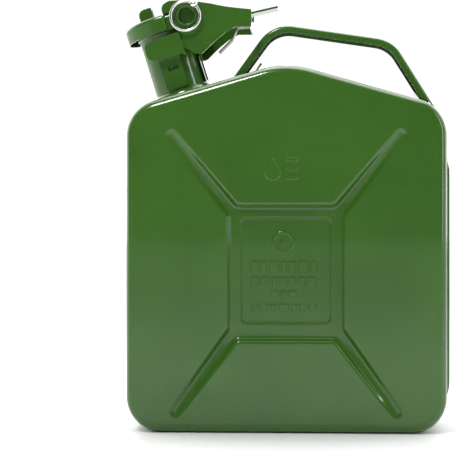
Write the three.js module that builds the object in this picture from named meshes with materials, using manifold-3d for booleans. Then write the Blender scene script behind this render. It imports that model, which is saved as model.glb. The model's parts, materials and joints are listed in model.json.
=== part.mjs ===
// A 5 litre pressed-steel jerry can with a cam-lever cap, in millimetres, +Z up.
// The can stands on Z = 0. X runs along the broad faces, from the neck towards the handle's low end,
// and the front face looks along -Y.
import * as THREE from 'three';
import { mergeVertices } from 'three/addons/utils/BufferGeometryUtils.js';
import Module from 'manifold-3d';

const wasm = await Module();
wasm.setup();

const degree = Math.PI / 180;

// ---- driving dimensions -------------------------------------------------------------------------
const gap = 0.3;                  // between pieces that touch
const wall = 1;                   // can sheet
const strapSheet = 1.5;           // brackets, straps and lever cheeks

const bodyHalfWidth = 116.6;      // of the front face's outline
const bodyHalfDepth = 55;
const peakHeight = 269.8;         // where the two roof slopes would meet
const roofSlope = 16 * degree;
const shoulder = peakHeight - bodyHalfWidth * Math.tan(roofSlope); // where a slope would meet a side
const bottomCornerRadius = 26;
const topCornerRadius = 27;
const peakRadius = 70;
const rimRadius = 7;              // between a face and the side wall
const sideDraft = 2.4;            // how much wider the can is at its seam
const flangeWidth = 1.5;          // seam flange, outside the side wall
const beadWidth = 1.3;
const beadHalfDepth = 1.7;
const grooveRise = 5.5;           // the bottom wall lifts this much at the seam
const grooveHalfDepth = 10;

const recessDepth = 4.5;
const recessSlope = 2.6;
const recessHalfWidth = 42.7;     // central rectangle of the pressing
const recessLow = 66.4;
const recessHigh = 166;
const armRootHalfWidth = 6;
const armTipHalfWidth = 3.9;
const upperArmTip = { x: 83, z: 216 };
const lowerArmTip = { x: 80, z: 16 };
const panelDepth = 1.6;           // the panel inside the rectangle, below its floor
const panelHalfWidth = 33;
const panelLow = 79;
const panelHigh = 156.5;
const panelCornerRadius = 4;
const panelSlope = 1.2;

const neckLean = 17.5 * degree;
const neckRadius = 20;
const neckWall = 1.2;
const neckHeight = 50;            // along its axis, from the roof to the lip
const neckInset = 18;             // from the can's side to the neck's side, at the roof
const neckX = neckInset + neckRadius - bodyHalfWidth;   // where the neck's axis meets the roof
const neckSide = neckX + neckRadius;
const neckDepthInside = 8;
const lipRadius = neckRadius + 1.2;
const lipHeight = 2.5;
const lipEdge = 0.6;
const collarWidth = 5;
const collarHeight = 3.5;
const breatherRadius = 4;
const breatherBore = 3;
const breatherOffset = neckRadius - 7.6;
const breatherEnd = { x: -6, drop: 13 };     // its lower end, the drop measured from the roof's peak
const breatherDip = 5;            // its bend below the neck's lower end
const breatherBend = 9;
const breatherClipHeight = [neckHeight - 22, neckHeight - 10];
const breatherClipHalfWidth = 2;

const lidRadius = neckRadius + 8.5;
const lidSheet = 1.2;
const lidBottom = neckHeight - 2.5;   // heights of the closure are measured along the neck's axis
const lidTop = neckHeight + 9.5;
const lidEdgeRadius = 3;
const lidFlat = neckRadius + 3.2;     // half-width between the lid's two flats
const lidFlatStart = 4.5;
const lidEnd = neckRadius + 11.5;
// v is the distance from the neck's axis towards the handle, and u the height along the axis.
const hingeAt = { v: neckRadius + 8, u: neckHeight - 6 };
const hingePinRadius = 2.2;
const hingeFit = 0.3;
const knuckleRadius = 4.2;
const knuckleHalfLength = 12;
const earRadius = 5;

const gasketInner = neckRadius - 6;
const gasketOuter = neckRadius + 0.5;
const gasketBottom = neckHeight + gap;
const gasketTop = neckHeight + 4.4;
const gasketPlateSheet = 1.2;
const rivetRadius = 2.5;
const rivetHeadRadius = 5;
const rivetHeadSheet = 1.2;

const pivotAt = { v: neckRadius + 0.9, u: neckHeight + 3.2 };
const cupFlangeRadius = 7.8;
const cupFlangeSheet = 0.8;
const cupRadius = 7.1;
const cupSheet = 1.1;
const cupDepth = 5.9;

const cheekInner = lidFlat + 0.8;
const cheekOuter = cheekInner + strapSheet;
const cheekHeadRadius = 11.5;
const leverReach = 48.5;          // from the pivot to the lever's end wall
const leverTopDrop = 7;           // the top edge falls this much from head to end
const leverEndDepth = 13;
const lobeDrop = 28;              // the cam lobe's tip below the pivot
const thumbTabLength = 20;
const thumbTabRise = 12.5 * degree;
const springSheet = 0.8;
const springHalfWidth = 7;
const springRivetRadius = 1.5;

const pinAt = { x: 5.9, z: 8.2 }; // from the pivot
const pinRadius = 1.2;
const pinHeadRadius = 3;
const eyeClearance = 0.7;         // round the ring's wire
const ringRadius = 10.9;          // to the middle of the wire
const ringWireRadius = 1.15;
const ringStandOff = 3.4;         // from the cheek's outer face to the middle of the wire

const standOff = 0.6;               // the keepers and the hinge bracket, from the neck
const keeperStrap = [-9, 7];        // along v
const keeperPlate = [-16, pivotAt.v - 8.6];
const keeperPlateHeight = [neckHeight - 23, neckHeight - 6.5];
const keeperSlot = [neckHeight - 32, neckHeight - 29];
const keeperSlotHalfWidth = 4;
const strikeUnderside = neckHeight - 11;
const strikeReach = 9.3;            // along v
const strikeHeight = 2.5;
const noseGap = 1;                // between a cam's nose and its strike
const noseReach = 3;

const handleHalfWidth = 11;
const handleThickness = 5.6;
const handleSheet = 1.3;
const handleBendRadius = 26;
const handlePath = [               // along its outer side
  { x: neckSide + 9.6, z: peakHeight - 19 },
  { x: neckSide + 47.8, z: peakHeight + 33.2 },
  { x: bodyHalfWidth - 37.6, z: shoulder + 53.1 },
  { x: bodyHalfWidth + 3, z: shoulder - 11.4 },
];
const handleLowest = shoulder - 3.4;
const footSheet = 1.6;
const footMargin = 2;              // wider than the handle, on each side
const footLift = 6;
const leftFoot = [neckSide + 14.6, neckSide + 36.1];
const rightFoot = [bodyHalfWidth - 17.6, bodyHalfWidth - 3.6];

// ---- solids -------------------------------------------------------------------------------------
// A closed geometry as a solid that can be joined and cut.
function solid(geometry) {
  const source = geometry.clone();
  source.deleteAttribute('normal');
  source.deleteAttribute('uv');
  const merged = mergeVertices(source, 1e-4);
  const corners = merged.index.array;
  const triVerts = [];
  for (let i = 0; i < corners.length; i += 3) {
    const [a, b, c] = [corners[i], corners[i + 1], corners[i + 2]];
    if (a !== b && b !== c && c !== a) triVerts.push(a, b, c);
  }
  return new wasm.Manifold(new wasm.Mesh({
    numProp: 3,
    vertProperties: merged.attributes.position.array,
    triVerts: new Uint32Array(triVerts),
  }));
}

// A solid back as a geometry.
function surface(made) {
  const mesh = made.getMesh();
  const geometry = new THREE.BufferGeometry();
  geometry.setAttribute('position', new THREE.BufferAttribute(mesh.vertProperties, 3));
  geometry.setIndex(new THREE.BufferAttribute(mesh.triVerts, 1));
  geometry.computeVertexNormals();
  return geometry;
}

function join(...geometries) {
  return surface(geometries.map(solid).reduce((whole, piece) => whole.add(piece)));
}

function cut(geometry, ...tools) {
  return surface(tools.map(solid).reduce((whole, tool) => whole.subtract(tool), solid(geometry)));
}

function common(geometry, other) {
  return surface(solid(geometry).intersect(solid(other)));
}

// A box between two values on each axis.
function block([x0, x1], [y0, y1], [z0, z1]) {
  return new THREE.BoxGeometry(x1 - x0, y1 - y0, z1 - z0)
    .translate((x0 + x1) / 2, (y0 + y1) / 2, (z0 + z1) / 2);
}

// A round bar along Y.
function barY(radius, [y0, y1], x, z, sides = 28) {
  return new THREE.CylinderGeometry(radius, radius, y1 - y0, sides)
    .translate(0, (y0 + y1) / 2, 0)
    .translate(x, 0, z);
}

// A solid of revolution about Z; its profile of [radius, height] runs anticlockwise.
function turned(profile, sides = 40) {
  const points = profile.map(([r, h]) => new THREE.Vector2(r, h));
  return new THREE.LatheGeometry(points, sides).rotateX(Math.PI / 2);
}

function ringProfile(inner, outer, low, high) {
  return [[inner, low], [outer, low], [outer, high], [inner, high], [inner, low]];
}

function diskProfile(radius, low, high) {
  return [[0, low], [radius, low], [radius, high], [0, high]];
}

// A round bar along X, on the plane Y = 0.
function barX(radius, [x0, x1], z, sides = 20) {
  return new THREE.CylinderGeometry(radius, radius, x1 - x0, sides)
    .rotateZ(Math.PI / 2)
    .translate((x0 + x1) / 2, 0, z);
}

// A flat outline in X and Z, made thick along Y.
function plateY(points, [y0, y1]) {
  const shape = points instanceof THREE.Shape ? points : new THREE.Shape(points);
  return new THREE.ExtrudeGeometry(shape, { depth: y1 - y0, bevelEnabled: false, curveSegments: 6 })
    .rotateX(Math.PI / 2)
    .translate(0, y1, 0);
}

const point = (x, z) => new THREE.Vector2(x, z);

// A closed outline with round corners. Each corner is { x, z, r }, anticlockwise, and the whole
// outline can be moved outwards by an offset.
function roundedLoop(corners, offset = 0, arcSteps = 7) {
  const count = corners.length;
  const edges = corners.map((corner, i) => {
    const next = corners[(i + 1) % count];
    const along = point(next.x - corner.x, next.z - corner.z).normalize();
    const outward = point(along.y, -along.x);
    return { along, outward, start: point(corner.x, corner.z).addScaledVector(outward, offset) };
  });
  const loop = [];
  corners.forEach((corner, i) => {
    const before = edges[(i + count - 1) % count];
    const after = edges[i];
    const turn = before.along.cross(after.along);
    const reach = after.start.clone().sub(before.start).cross(after.along) / turn;
    const tip = before.start.clone().addScaledVector(before.along, reach);
    const radius = Math.max(corner.r + Math.sign(turn) * offset, 0.2);
    const angle = Math.atan2(turn, before.along.dot(after.along));
    const tangent = radius * Math.tan(Math.abs(angle) / 2);
    const from = tip.clone().addScaledVector(before.along, -tangent);
    const centre = from.clone().addScaledVector(before.outward, -Math.sign(turn) * radius);
    for (let step = 0; step <= arcSteps; step++) {
      loop.push(from.clone().rotateAround(centre, (angle * step) / arcSteps));
    }
  });
  return loop;
}

// The same for an open path: the points between its ends are rounded, and it can be moved sideways.
function roundedPath(corners, radius, offset, arcSteps = 7) {
  const sides = corners.slice(1).map((corner, i) => {
    const along = point(corner.x - corners[i].x, corner.z - corners[i].z).normalize();
    return { along, left: point(-along.y, along.x) };
  });
  const path = [point(corners[0].x, corners[0].z).addScaledVector(sides[0].left, offset)];
  for (let i = 1; i < corners.length - 1; i++) {
    const [before, after] = [sides[i - 1], sides[i]];
    const angle = Math.atan2(before.along.cross(after.along), before.along.dot(after.along));
    const corner = point(corners[i].x, corners[i].z);
    const from = corner.clone().addScaledVector(before.along, -radius * Math.tan(Math.abs(angle) / 2));
    const centre = from.clone().addScaledVector(before.left, Math.sign(angle) * radius);
    from.addScaledVector(before.left, offset);
    for (let step = 0; step <= arcSteps; step++) {
      path.push(from.clone().rotateAround(centre, (angle * step) / arcSteps));
    }
  }
  const last = corners[corners.length - 1];
  path.push(point(last.x, last.z).addScaledVector(sides[sides.length - 1].left, offset));
  return path;
}

// A solid through outlines of equal length at rising distances in front of the seam plane.
function loftForward(sections) {
  const count = sections[0].loop.length;
  const positions = sections.flatMap(({ y, loop }) => loop.flatMap((p) => [p.x, -y, p.y]));
  const index = [];
  for (let ring = 0; ring + 1 < sections.length; ring++) {
    for (let i = 0; i < count; i++) {
      const a = ring * count + i;
      const b = ring * count + ((i + 1) % count);
      index.push(a, b, b + count, a, b + count, a + count);
    }
  }
  const far = (sections.length - 1) * count;
  THREE.ShapeUtils.triangulateShape(sections[0].loop, []).forEach(([a, b, c]) => {
    index.push(a, c, b);
    index.push(far + a, far + b, far + c);
  });
  const geometry = new THREE.BufferGeometry();
  geometry.setAttribute('position', new THREE.Float32BufferAttribute(positions, 3));
  geometry.setIndex(index);
  return geometry;
}

// ---- the can body -------------------------------------------------------------------------------
// The body's outline, moved outwards by an offset, with its bottom edge lifted.
function bodyOutline(offset, lift) {
  return roundedLoop([
    { x: -bodyHalfWidth, z: lift, r: bottomCornerRadius },
    { x: bodyHalfWidth, z: lift, r: bottomCornerRadius },
    { x: bodyHalfWidth, z: shoulder, r: topCornerRadius },
    { x: 0, z: peakHeight, r: peakRadius },
    { x: -bodyHalfWidth, z: shoulder, r: topCornerRadius },
  ], offset);
}

// How high the roof's middle stands at x, moved outwards by a distance.
function roofHeight(x, outwards) {
  const radius = peakRadius + outwards;
  if (Math.abs(x) < radius * Math.sin(roofSlope)) {
    return peakHeight - peakRadius / Math.cos(roofSlope) + Math.sqrt(radius ** 2 - x ** 2);
  }
  return peakHeight + outwards / Math.cos(roofSlope) - Math.abs(x) * Math.tan(roofSlope);
}

// How far the side wall stands outside the face's outline at a distance from the seam plane.
const straightDepth = bodyHalfDepth - rimRadius;
const draftAt = (y) => sideDraft * (1 - Math.max(y, 0) / straightDepth);
const riseAt = (y) => grooveRise * Math.max(0, 1 - Math.max(y, 0) / grooveHalfDepth);

// One half of the body as a full solid, moved inwards by an inset.
function bodyHalf(inset, start, withFlange) {
  const section = (y, at = y) => ({
    y,
    loop: bodyOutline(draftAt(at) - inset, draftAt(at) + riseAt(at)),
  });
  const sections = [section(start)];
  if (withFlange) {
    const outer = sideDraft + flangeWidth;
    const lift = sideDraft + grooveRise;
    sections.splice(0, 1,
      { y: start, loop: bodyOutline(outer, lift) },
      { y: start + wall, loop: bodyOutline(outer, lift) },
      { y: start + wall + 0.05, loop: bodyOutline(draftAt(start), lift) });
  }
  sections.push(section(grooveHalfDepth), section(straightDepth));
  const radius = rimRadius - inset;
  const arcSteps = 4;
  for (let step = 1; step <= arcSteps; step++) {
    const angle = (Math.PI / 2) * (step / arcSteps);
    const drawn = radius * (1 - Math.cos(angle));
    sections.push({ y: straightDepth + radius * Math.sin(angle), loop: bodyOutline(-inset - drawn, 0) });
  }
  return loftForward(sections);
}

// The pressing's outline: a rectangle with an arm running out from each corner.
function pressingOutline() {
  const corners = [
    { sx: -1, sz: -1, tip: lowerArmTip, z: recessLow },
    { sx: 1, sz: -1, tip: lowerArmTip, z: recessLow },
    { sx: 1, sz: 1, tip: upperArmTip, z: recessHigh },
    { sx: -1, sz: 1, tip: upperArmTip, z: recessHigh },
  ];
  return corners.flatMap(({ sx, sz, tip, z }) => {
    const corner = point(sx * recessHalfWidth, z);
    const end = point(sx * tip.x, tip.z);
    const along = end.clone().sub(corner).normalize();
    const across = point(-along.y, along.x);
    const reachX = armRootHalfWidth / Math.abs(along.y);
    const reachZ = armRootHalfWidth / Math.abs(along.x);
    const onLevelEdge = point(corner.x - sx * reachX, z);
    const onUprightEdge = point(corner.x, z - sz * reachZ);
    const tipRight = end.clone().addScaledVector(across, -armTipHalfWidth);
    const tipLeft = end.clone().addScaledVector(across, armTipHalfWidth);
    const nose = end.clone().addScaledVector(along, armTipHalfWidth);
    const first = sx * sz > 0 ? onUprightEdge : onLevelEdge;
    const last = sx * sz > 0 ? onLevelEdge : onUprightEdge;
    return [first, tipRight, nose, tipLeft, last];
  });
}

// A pressing's cutter. Its outline holds at one depth under the face, and it slopes in from there to
// its floor. The inner one stands a sheet's thickness deeper.
function pressingTool(outline, startDepth, depth, slope, inner) {
  const grow = inner ? wall * Math.tan(22.5 * degree) : 0;
  return new THREE.ExtrudeGeometry(new THREE.Shape(outline), {
    depth: startDepth + 2,
    bevelEnabled: true,
    bevelSegments: 1,
    bevelThickness: depth,
    bevelSize: slope,
    bevelOffset: grow - slope,
  }).rotateX(Math.PI / 2).translate(0, startDepth + (inner ? wall : 0) - bodyHalfDepth, 0);
}

const panelOutline = roundedLoop([
  { x: -panelHalfWidth, z: panelLow, r: panelCornerRadius },
  { x: panelHalfWidth, z: panelLow, r: panelCornerRadius },
  { x: panelHalfWidth, z: panelHigh, r: panelCornerRadius },
  { x: -panelHalfWidth, z: panelHigh, r: panelCornerRadius },
], 0, 3);

function pressings(inner) {
  return [
    pressingTool(pressingOutline(), 0, recessDepth, recessSlope, inner),
    pressingTool(panelOutline, recessDepth, panelDepth, panelSlope, inner),
  ];
}

// ---- the neck's own frame -----------------------------------------------------------------------
// Its +Z runs up the neck's axis and its +X along the roof, towards the handle.
const neckFoot = new THREE.Vector3(neckX, 0, roofHeight(neckX, sideDraft));
const neckFrame = new THREE.Matrix4().makeRotationY(-neckLean).setPosition(neckFoot);
const inNeck = (geometry) => geometry.applyMatrix4(neckFrame);

// The body with no flange, moved outwards by a distance, for trimming what stands on it.
function envelope(outset) {
  const half = bodyHalf(-outset, -1, false);
  return join(half, half.clone().rotateZ(Math.PI));
}

const body = envelope(0);
const bodyFit = envelope(gap);

const neckHole = inNeck(turned(diskProfile(neckRadius + gap, -3 * neckDepthInside, neckHeight)));

// The flange and its bead stop below the roof.
const aboveFlange = cut(
  block([-2 * bodyHalfWidth, 2 * bodyHalfWidth], [-bodyHalfDepth, bodyHalfDepth],
    [shoulder - topCornerRadius, 2 * peakHeight]),
  body,
);

// ---- pieces of the can --------------------------------------------------------------------------
function shell(turn) {
  const inside = cut(bodyHalf(wall, -1, false), ...pressings(true));
  const sheet = cut(bodyHalf(0, gap / 2, true), inside, ...pressings(false)).rotateZ(turn);
  return cut(sheet, neckHole, aboveFlange);
}

function seamWeld() {
  const inner = sideDraft + flangeWidth + gap;
  const lift = sideDraft + grooveRise;
  const slab = (offset, halfDepth) => loftForward([
    { y: -halfDepth, loop: bodyOutline(offset, lift) },
    { y: halfDepth, loop: bodyOutline(offset, lift) },
  ]);
  return cut(slab(inner + beadWidth, beadHalfDepth), slab(inner, 2 * beadHalfDepth), aboveFlange);
}

function neckCollar() {
  const outer = neckRadius + collarWidth;
  const ring = turned([
    [neckRadius + gap, -collarWidth],
    [outer, -collarWidth],
    [outer, collarHeight / 2],
    [neckRadius + 1.5, collarHeight],
    [neckRadius + gap, collarHeight],
    [neckRadius + gap, -collarWidth],
  ]);
  return cut(inNeck(ring), bodyFit);
}

function fillerNeck() {
  const bore = neckRadius - neckWall;
  return turned([
    [bore, -neckDepthInside],
    [neckRadius, -neckDepthInside],
    [neckRadius, neckHeight - lipHeight],
    [lipRadius, neckHeight - lipHeight + lipEdge],
    [lipRadius, neckHeight - lipEdge],
    [lipRadius - lipEdge, neckHeight],
    [bore + lipEdge, neckHeight],
    [bore, neckHeight - lipEdge],
    [bore, -neckDepthInside],
  ]);
}

// The vent runs down inside the neck, then along under the roof to the can's highest point.
function breatherPipe() {
  const top = new THREE.Vector3(breatherOffset, 0, neckHeight - 4).applyMatrix4(neckFrame);
  const turnAt = new THREE.Vector3(breatherOffset, 0, -neckDepthInside - breatherDip).applyMatrix4(neckFrame);
  const end = new THREE.Vector3(breatherEnd.x, 0, peakHeight - breatherEnd.drop);
  const before = turnAt.clone().add(top.clone().sub(turnAt).setLength(breatherBend));
  const after = turnAt.clone().add(end.clone().sub(turnAt).setLength(breatherBend));
  const line = new THREE.CurvePath();
  line.add(new THREE.LineCurve3(top, before));
  line.add(new THREE.QuadraticBezierCurve3(before, turnAt, after));
  line.add(new THREE.LineCurve3(after, end));
  const section = new THREE.Shape().absarc(0, 0, breatherRadius, 0, 2 * Math.PI);
  section.holes.push(new THREE.Path().absarc(0, 0, breatherBore, 0, 2 * Math.PI, true));
  return new THREE.ExtrudeGeometry(section, {
    steps: 30,
    curveSegments: 8,
    bevelEnabled: false,
    extrudePath: line,
  });
}

function breatherClip() {
  const inner = breatherOffset + breatherRadius + gap;
  return block([inner, neckRadius - neckWall - gap],
    [-breatherClipHalfWidth, breatherClipHalfWidth], breatherClipHeight);
}

// ---- keepers and hinge --------------------------------------------------------------------------
// The near keeper: a strap up the neck, stepped out into a plate that the cam's nose goes behind.
function keeper() {
  const back = -(neckRadius + standOff);
  const front = -(cheekOuter + standOff);
  const [low, high] = keeperPlateHeight;
  const plate = plateY(roundedLoop([
    { x: keeperPlate[0], z: low + 2, r: 4 },
    { x: keeperPlate[1], z: low, r: 1 },
    { x: keeperPlate[1], z: high, r: 1.5 },
    { x: keeperPlate[0] + 8, z: high, r: 2 },
    { x: keeperPlate[0], z: high - 3, r: 4 },
  ], 0, 3), [front - strapSheet, front]);
  return cut(
    join(
      block(keeperStrap, [back - strapSheet, back], [collarHeight + 1, low + strapSheet]),
      block([keeperStrap[0], keeperPlate[1]], [front - strapSheet, back], [low, low + strapSheet]),
      plate,
      block([keeperStrap[0], keeperPlate[1]], [front - strapSheet, back - 1], [high - strapSheet, high]),
      block([keeperPlate[1] - strikeReach, keeperPlate[1]], [front - 0.5, back - 2],
        [strikeUnderside, strikeUnderside + strikeHeight]),
    ),
    block([-keeperSlotHalfWidth, keeperSlotHalfWidth], [2 * back, 0], keeperSlot),
  );
}

function hingeBracket() {
  const face = neckRadius + standOff;
  const { v, u } = hingeAt;
  const web = [
    point(face, collarHeight + 1),
    point(face + strapSheet, collarHeight + 1),
    point(face + strapSheet, u - 13),
    point(v + 1, u - 3.2),
    point(v - 3, u - 1),
    point(face, u - 9),
  ];
  const knuckle = barY(knuckleRadius, [-knuckleHalfLength, knuckleHalfLength], v, u);
  const bore = barY(hingePinRadius + hingeFit, [-2 * knuckleHalfLength, 2 * knuckleHalfLength], v, u);
  return cut(join(plateY(web, [-knuckleHalfLength + 2, knuckleHalfLength - 2]), knuckle), bore);
}

// ---- the lid ------------------------------------------------------------------------------------
// The lid's outside, or its inside when it is moved in by the sheet.
function lidForm(inset) {
  const radius = lidRadius - inset;
  const flat = lidFlat - inset;
  const top = lidTop - inset;
  const low = lidBottom - (inset ? 1 : 0);
  const edge = Math.max(lidEdgeRadius - inset, 0.5);
  const round = [0, 1, 2, 3].map((step) => {
    const angle = (step * Math.PI) / 6;
    return [radius - edge + edge * Math.cos(angle), top - edge + edge * Math.sin(angle)];
  });
  const cup = turned([[0, low], [radius, low], ...round, [0, top]], 48);
  const step = lidFlatStart - inset;
  const housing = plateY(roundedLoop([
    { x: 0, z: low, r: 0.2 },
    { x: lidEnd - inset, z: low, r: 0.2 },
    { x: lidEnd - inset, z: top, r: edge },
    { x: 0, z: top, r: 0.2 },
  ], 0, 3), [-flat, flat]);
  return join(
    cut(cup,
      block([step, lidRadius + 1], [flat, lidRadius + 1], [0, 2 * lidTop]),
      block([step, lidRadius + 1], [-lidRadius - 1, -flat], [0, 2 * lidTop])),
    housing,
  );
}

// The holes for the two pivot cups, as deep as the cups go.
function cupHoles() {
  const deep = cheekOuter - cupDepth;
  return [[-2 * lidFlat, -deep], [deep, 2 * lidFlat]].map((reach) => (
    barY(cupRadius + gap, reach, pivotAt.v, pivotAt.u, 32)));
}

function lid() {
  const { v, u } = hingeAt;
  const ear = (y0) => join(
    barY(earRadius, [y0, y0 + lidSheet], v, u),
    block([v - earRadius, lidEnd], [y0, y0 + lidSheet], [u, lidBottom + 1]),
  );
  const wide = [-lidFlat - 1, lidFlat + 1];
  return cut(
    join(
      cut(lidForm(0), lidForm(lidSheet)),
      ear(-lidFlat),
      ear(lidFlat - lidSheet),
    ),
    block([lidEnd - 2 * lidSheet, lidEnd + 1], [-lidFlat + lidSheet, lidFlat - lidSheet],
      [u, u + earRadius + 1.5]),
    barY(hingePinRadius + hingeFit, wide, v, u),
    ...cupHoles(),
    turned(diskProfile(rivetRadius + gap, lidTop - 5, lidTop + 1), 20),
  );
}

const strapTop = lidTop + gap + strapSheet;

// The strap lies on the lid. Its edges turn up into two round ears at the pivots and two small ones.
function lidStrap() {
  const bottom = lidTop + gap;
  const pivotEar = (y0) => plateY(roundedLoop([
    { x: 4.5, z: bottom, r: 0.3 },
    { x: lidEnd - 2, z: bottom, r: 0.3 },
    { x: lidEnd - 3, z: bottom + 2.4, r: 1 },
    { x: 19, z: bottom + 6.5, r: 5 },
    { x: 12, z: bottom + 8.4, r: 4 },
    { x: 4.5, z: bottom + 7, r: 5 },
  ], 0, 3), [y0, y0 + strapSheet]);
  const smallEar = (y0) => plateY(roundedLoop([
    { x: -14, z: bottom, r: 0.3 },
    { x: -3.5, z: bottom, r: 0.3 },
    { x: -3.5, z: bottom + 10.5, r: 1 },
    { x: -14, z: bottom + 10.5, r: 4.5 },
  ], 0, 3), [y0, y0 + strapSheet]);
  const narrow = 7;
  return cut(
    join(
      block([-16, 6], [-narrow, narrow], [bottom, strapTop]),
      block([4.5, lidEnd - 3], [-lidFlat, lidFlat], [bottom, strapTop]),
      pivotEar(-lidFlat),
      pivotEar(lidFlat - strapSheet),
      smallEar(-narrow),
      smallEar(narrow - strapSheet),
    ),
    turned(diskProfile(rivetRadius + gap, lidTop - 5, strapTop + 1), 20),
    ...cupHoles(),
  );
}

function gasketPlate() {
  const low = gasketTop + gap;
  return turned(ringProfile(rivetRadius + gap, gasketOuter - 0.5, low, low + gasketPlateSheet));
}

function lidRivet() {
  const foot = gasketTop;
  const low = foot - rivetHeadSheet;
  return turned([
    [0, low],
    [rivetHeadRadius, low],
    [rivetHeadRadius, foot],
    [rivetRadius, foot],
    [rivetRadius, strapTop + gap],
    [rivetHeadRadius, strapTop + gap],
    [rivetHeadRadius - 1, strapTop + gap + 1.6],
    [0, strapTop + gap + 2.2],
  ], 24);
}

// A hollow rivet through the lid's flat, open to the outside and closed at its inner end.
function pivotCup() {
  const outer = cheekOuter + gap + cupFlangeSheet;
  const flange = cheekOuter + gap;
  const deep = cheekOuter + gap - cupDepth;
  const bore = cupRadius - cupSheet;
  return turned([
    [0, deep],
    [cupRadius, deep],
    [cupRadius, flange],
    [cupFlangeRadius, flange],
    [cupFlangeRadius, outer],
    [bore, outer],
    [bore, deep + cupSheet],
    [0, deep + cupSheet],
  ], 32).rotateX(Math.PI / 2);
}

// ---- the lever ----------------------------------------------------------------------------------
// A direction given along and across the neck, in the lever's own upright frame.
const tilted = (v, u) => point(
  v * Math.cos(neckLean) - u * Math.sin(neckLean),
  v * Math.sin(neckLean) + u * Math.cos(neckLean),
);

function cheekOutline() {
  const noseTop = strikeUnderside - noseGap - pivotAt.u;
  const strikeEdge = keeperPlate[1] - pivotAt.v;
  const waist = strikeEdge + 0.6;
  const waistOnHead = -Math.sqrt(cheekHeadRadius ** 2 - waist ** 2);
  const headFrom = tilted(waist, waistOnHead).angle();
  const headTo = 76 * degree;
  const endTop = cheekHeadRadius - leverTopDrop;
  const endLow = endTop - leverEndDepth;
  const shape = new THREE.Shape();
  shape.absarc(0, 0, cheekHeadRadius, headFrom, headTo, true);
  shape.splineThru([point(17, 9.2), point(30.3, 6.6), point(leverReach, endTop)]);
  shape.lineTo(leverReach, endLow);
  shape.lineTo(36.3, endLow);
  shape.splineThru([point(30, -12), point(21.5, -18.9), point(14.2, -lobeDrop + 2)]);
  shape.quadraticCurveTo(12.5, -lobeDrop - 0.4, 9, -lobeDrop - 0.4);
  shape.quadraticCurveTo(5, -lobeDrop - 0.4, 3.5, -lobeDrop + 2.5);
  [
    tilted(strikeEdge - noseReach, noseTop - 4.5),
    tilted(strikeEdge - noseReach, noseTop),
    tilted(waist, noseTop),
    tilted(waist, waistOnHead),
  ].forEach((corner) => shape.lineTo(corner.x, corner.y));
  return shape;
}

function lever() {
  const cheek = cheekOutline();
  const endTop = cheekHeadRadius - leverTopDrop;
  const tabRoot = point(leverReach - strapSheet, endTop - strapSheet);
  const along = point(Math.cos(thumbTabRise), Math.sin(thumbTabRise));
  const across = point(-along.y, along.x);
  const tabEnd = tabRoot.clone().addScaledVector(along, thumbTabLength + strapSheet);
  const tab = [
    tabRoot,
    tabEnd,
    tabEnd.clone().addScaledVector(across, strapSheet),
    tabRoot.clone().addScaledVector(across, strapSheet),
  ];
  const wide = [-cheekOuter - 1, cheekOuter + 1];
  return cut(
    join(
      plateY(cheek, [-cheekOuter, -cheekInner]),
      plateY(cheek, [cheekInner, cheekOuter]),
      block([leverReach - strapSheet, leverReach], [-cheekOuter, cheekOuter],
        [endTop - leverEndDepth, endTop]),
      plateY(tab, [-9, 9]),
    ),
    barY(cupRadius + gap, wide, 0, 0, 32),
    barY(pinRadius + gap, [wide[0], 0], pinAt.x, pinAt.z, 16),
    barX(springRivetRadius + gap, [leverReach - 2 * strapSheet, leverReach + 1], 0),
  );
}

function holdOpenSpring() {
  const face = leverReach - strapSheet - gap;
  const path = [
    { x: face, z: 3.5 },
    { x: face, z: -6 },
    { x: 37.5, z: -6.5 },
    { x: 33.5, z: -15.4 },
    { x: 23.5, z: -25.5 },
  ];
  const outline = [
    ...roundedPath(path, 1.6, 0, 3),
    ...roundedPath(path, 1.6, -springSheet, 3).reverse(),
  ];
  return cut(
    plateY(outline, [-springHalfWidth, springHalfWidth]),
    barX(springRivetRadius + gap, [face - 3, face + 1], 0),
  );
}

function springRivet() {
  const shank = springRivetRadius;
  const head = 2 * shank;
  const inner = leverReach - strapSheet - 2 * gap - springSheet;
  return turned([
    [0, inner - 1],
    [head, inner - 1],
    [head, inner],
    [shank, inner],
    [shank, leverReach + gap],
    [head, leverReach + gap],
    [head, leverReach + gap + 0.6],
    [0, leverReach + gap + 1.1],
  ], 20).rotateY(Math.PI / 2);
}

// ---- the lock -----------------------------------------------------------------------------------
const ringPlane = -(cheekOuter + ringStandOff);
const ringTilt = Math.atan2(pinAt.z, pinAt.x);

function lockingPin() {
  const head = new THREE.SphereGeometry(pinHeadRadius, 20, 12).translate(pinAt.x, ringPlane, pinAt.z);
  const shank = barY(pinRadius, [ringPlane, -lidFlat - gap], pinAt.x, pinAt.z, 16);
  const bore = ringWireRadius + eyeClearance;
  const eye = new THREE.CylinderGeometry(bore, bore, 3 * pinHeadRadius, 14)
    .rotateX(Math.PI / 2)
    .rotateY(-ringTilt)
    .translate(pinAt.x, ringPlane, pinAt.z);
  return cut(join(head, shank), eye);
}

function pullRing() {
  const away = point(Math.cos(ringTilt), Math.sin(ringTilt)).multiplyScalar(-ringRadius);
  return new THREE.TorusGeometry(ringRadius, ringWireRadius, 10, 40)
    .rotateX(Math.PI / 2)
    .translate(pinAt.x + away.x, ringPlane, pinAt.z + away.y);
}

// ---- the handle ---------------------------------------------------------------------------------
const handleFit = envelope(gap + footSheet + gap);

function handle() {
  const outline = (from, to) => [
    ...roundedPath(handlePath, handleBendRadius, from),
    ...roundedPath(handlePath, handleBendRadius, to).reverse(),
  ];
  const inner = handleHalfWidth - handleSheet;
  return cut(
    plateY(outline(0, -handleThickness), [-handleHalfWidth, handleHalfWidth]),
    plateY(outline(-handleSheet, -handleThickness - 1), [-inner, inner]),
    handleFit,
    block([0, 2 * bodyHalfWidth], [-bodyHalfDepth, bodyHalfDepth], [0, handleLowest]),
  );
}

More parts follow.
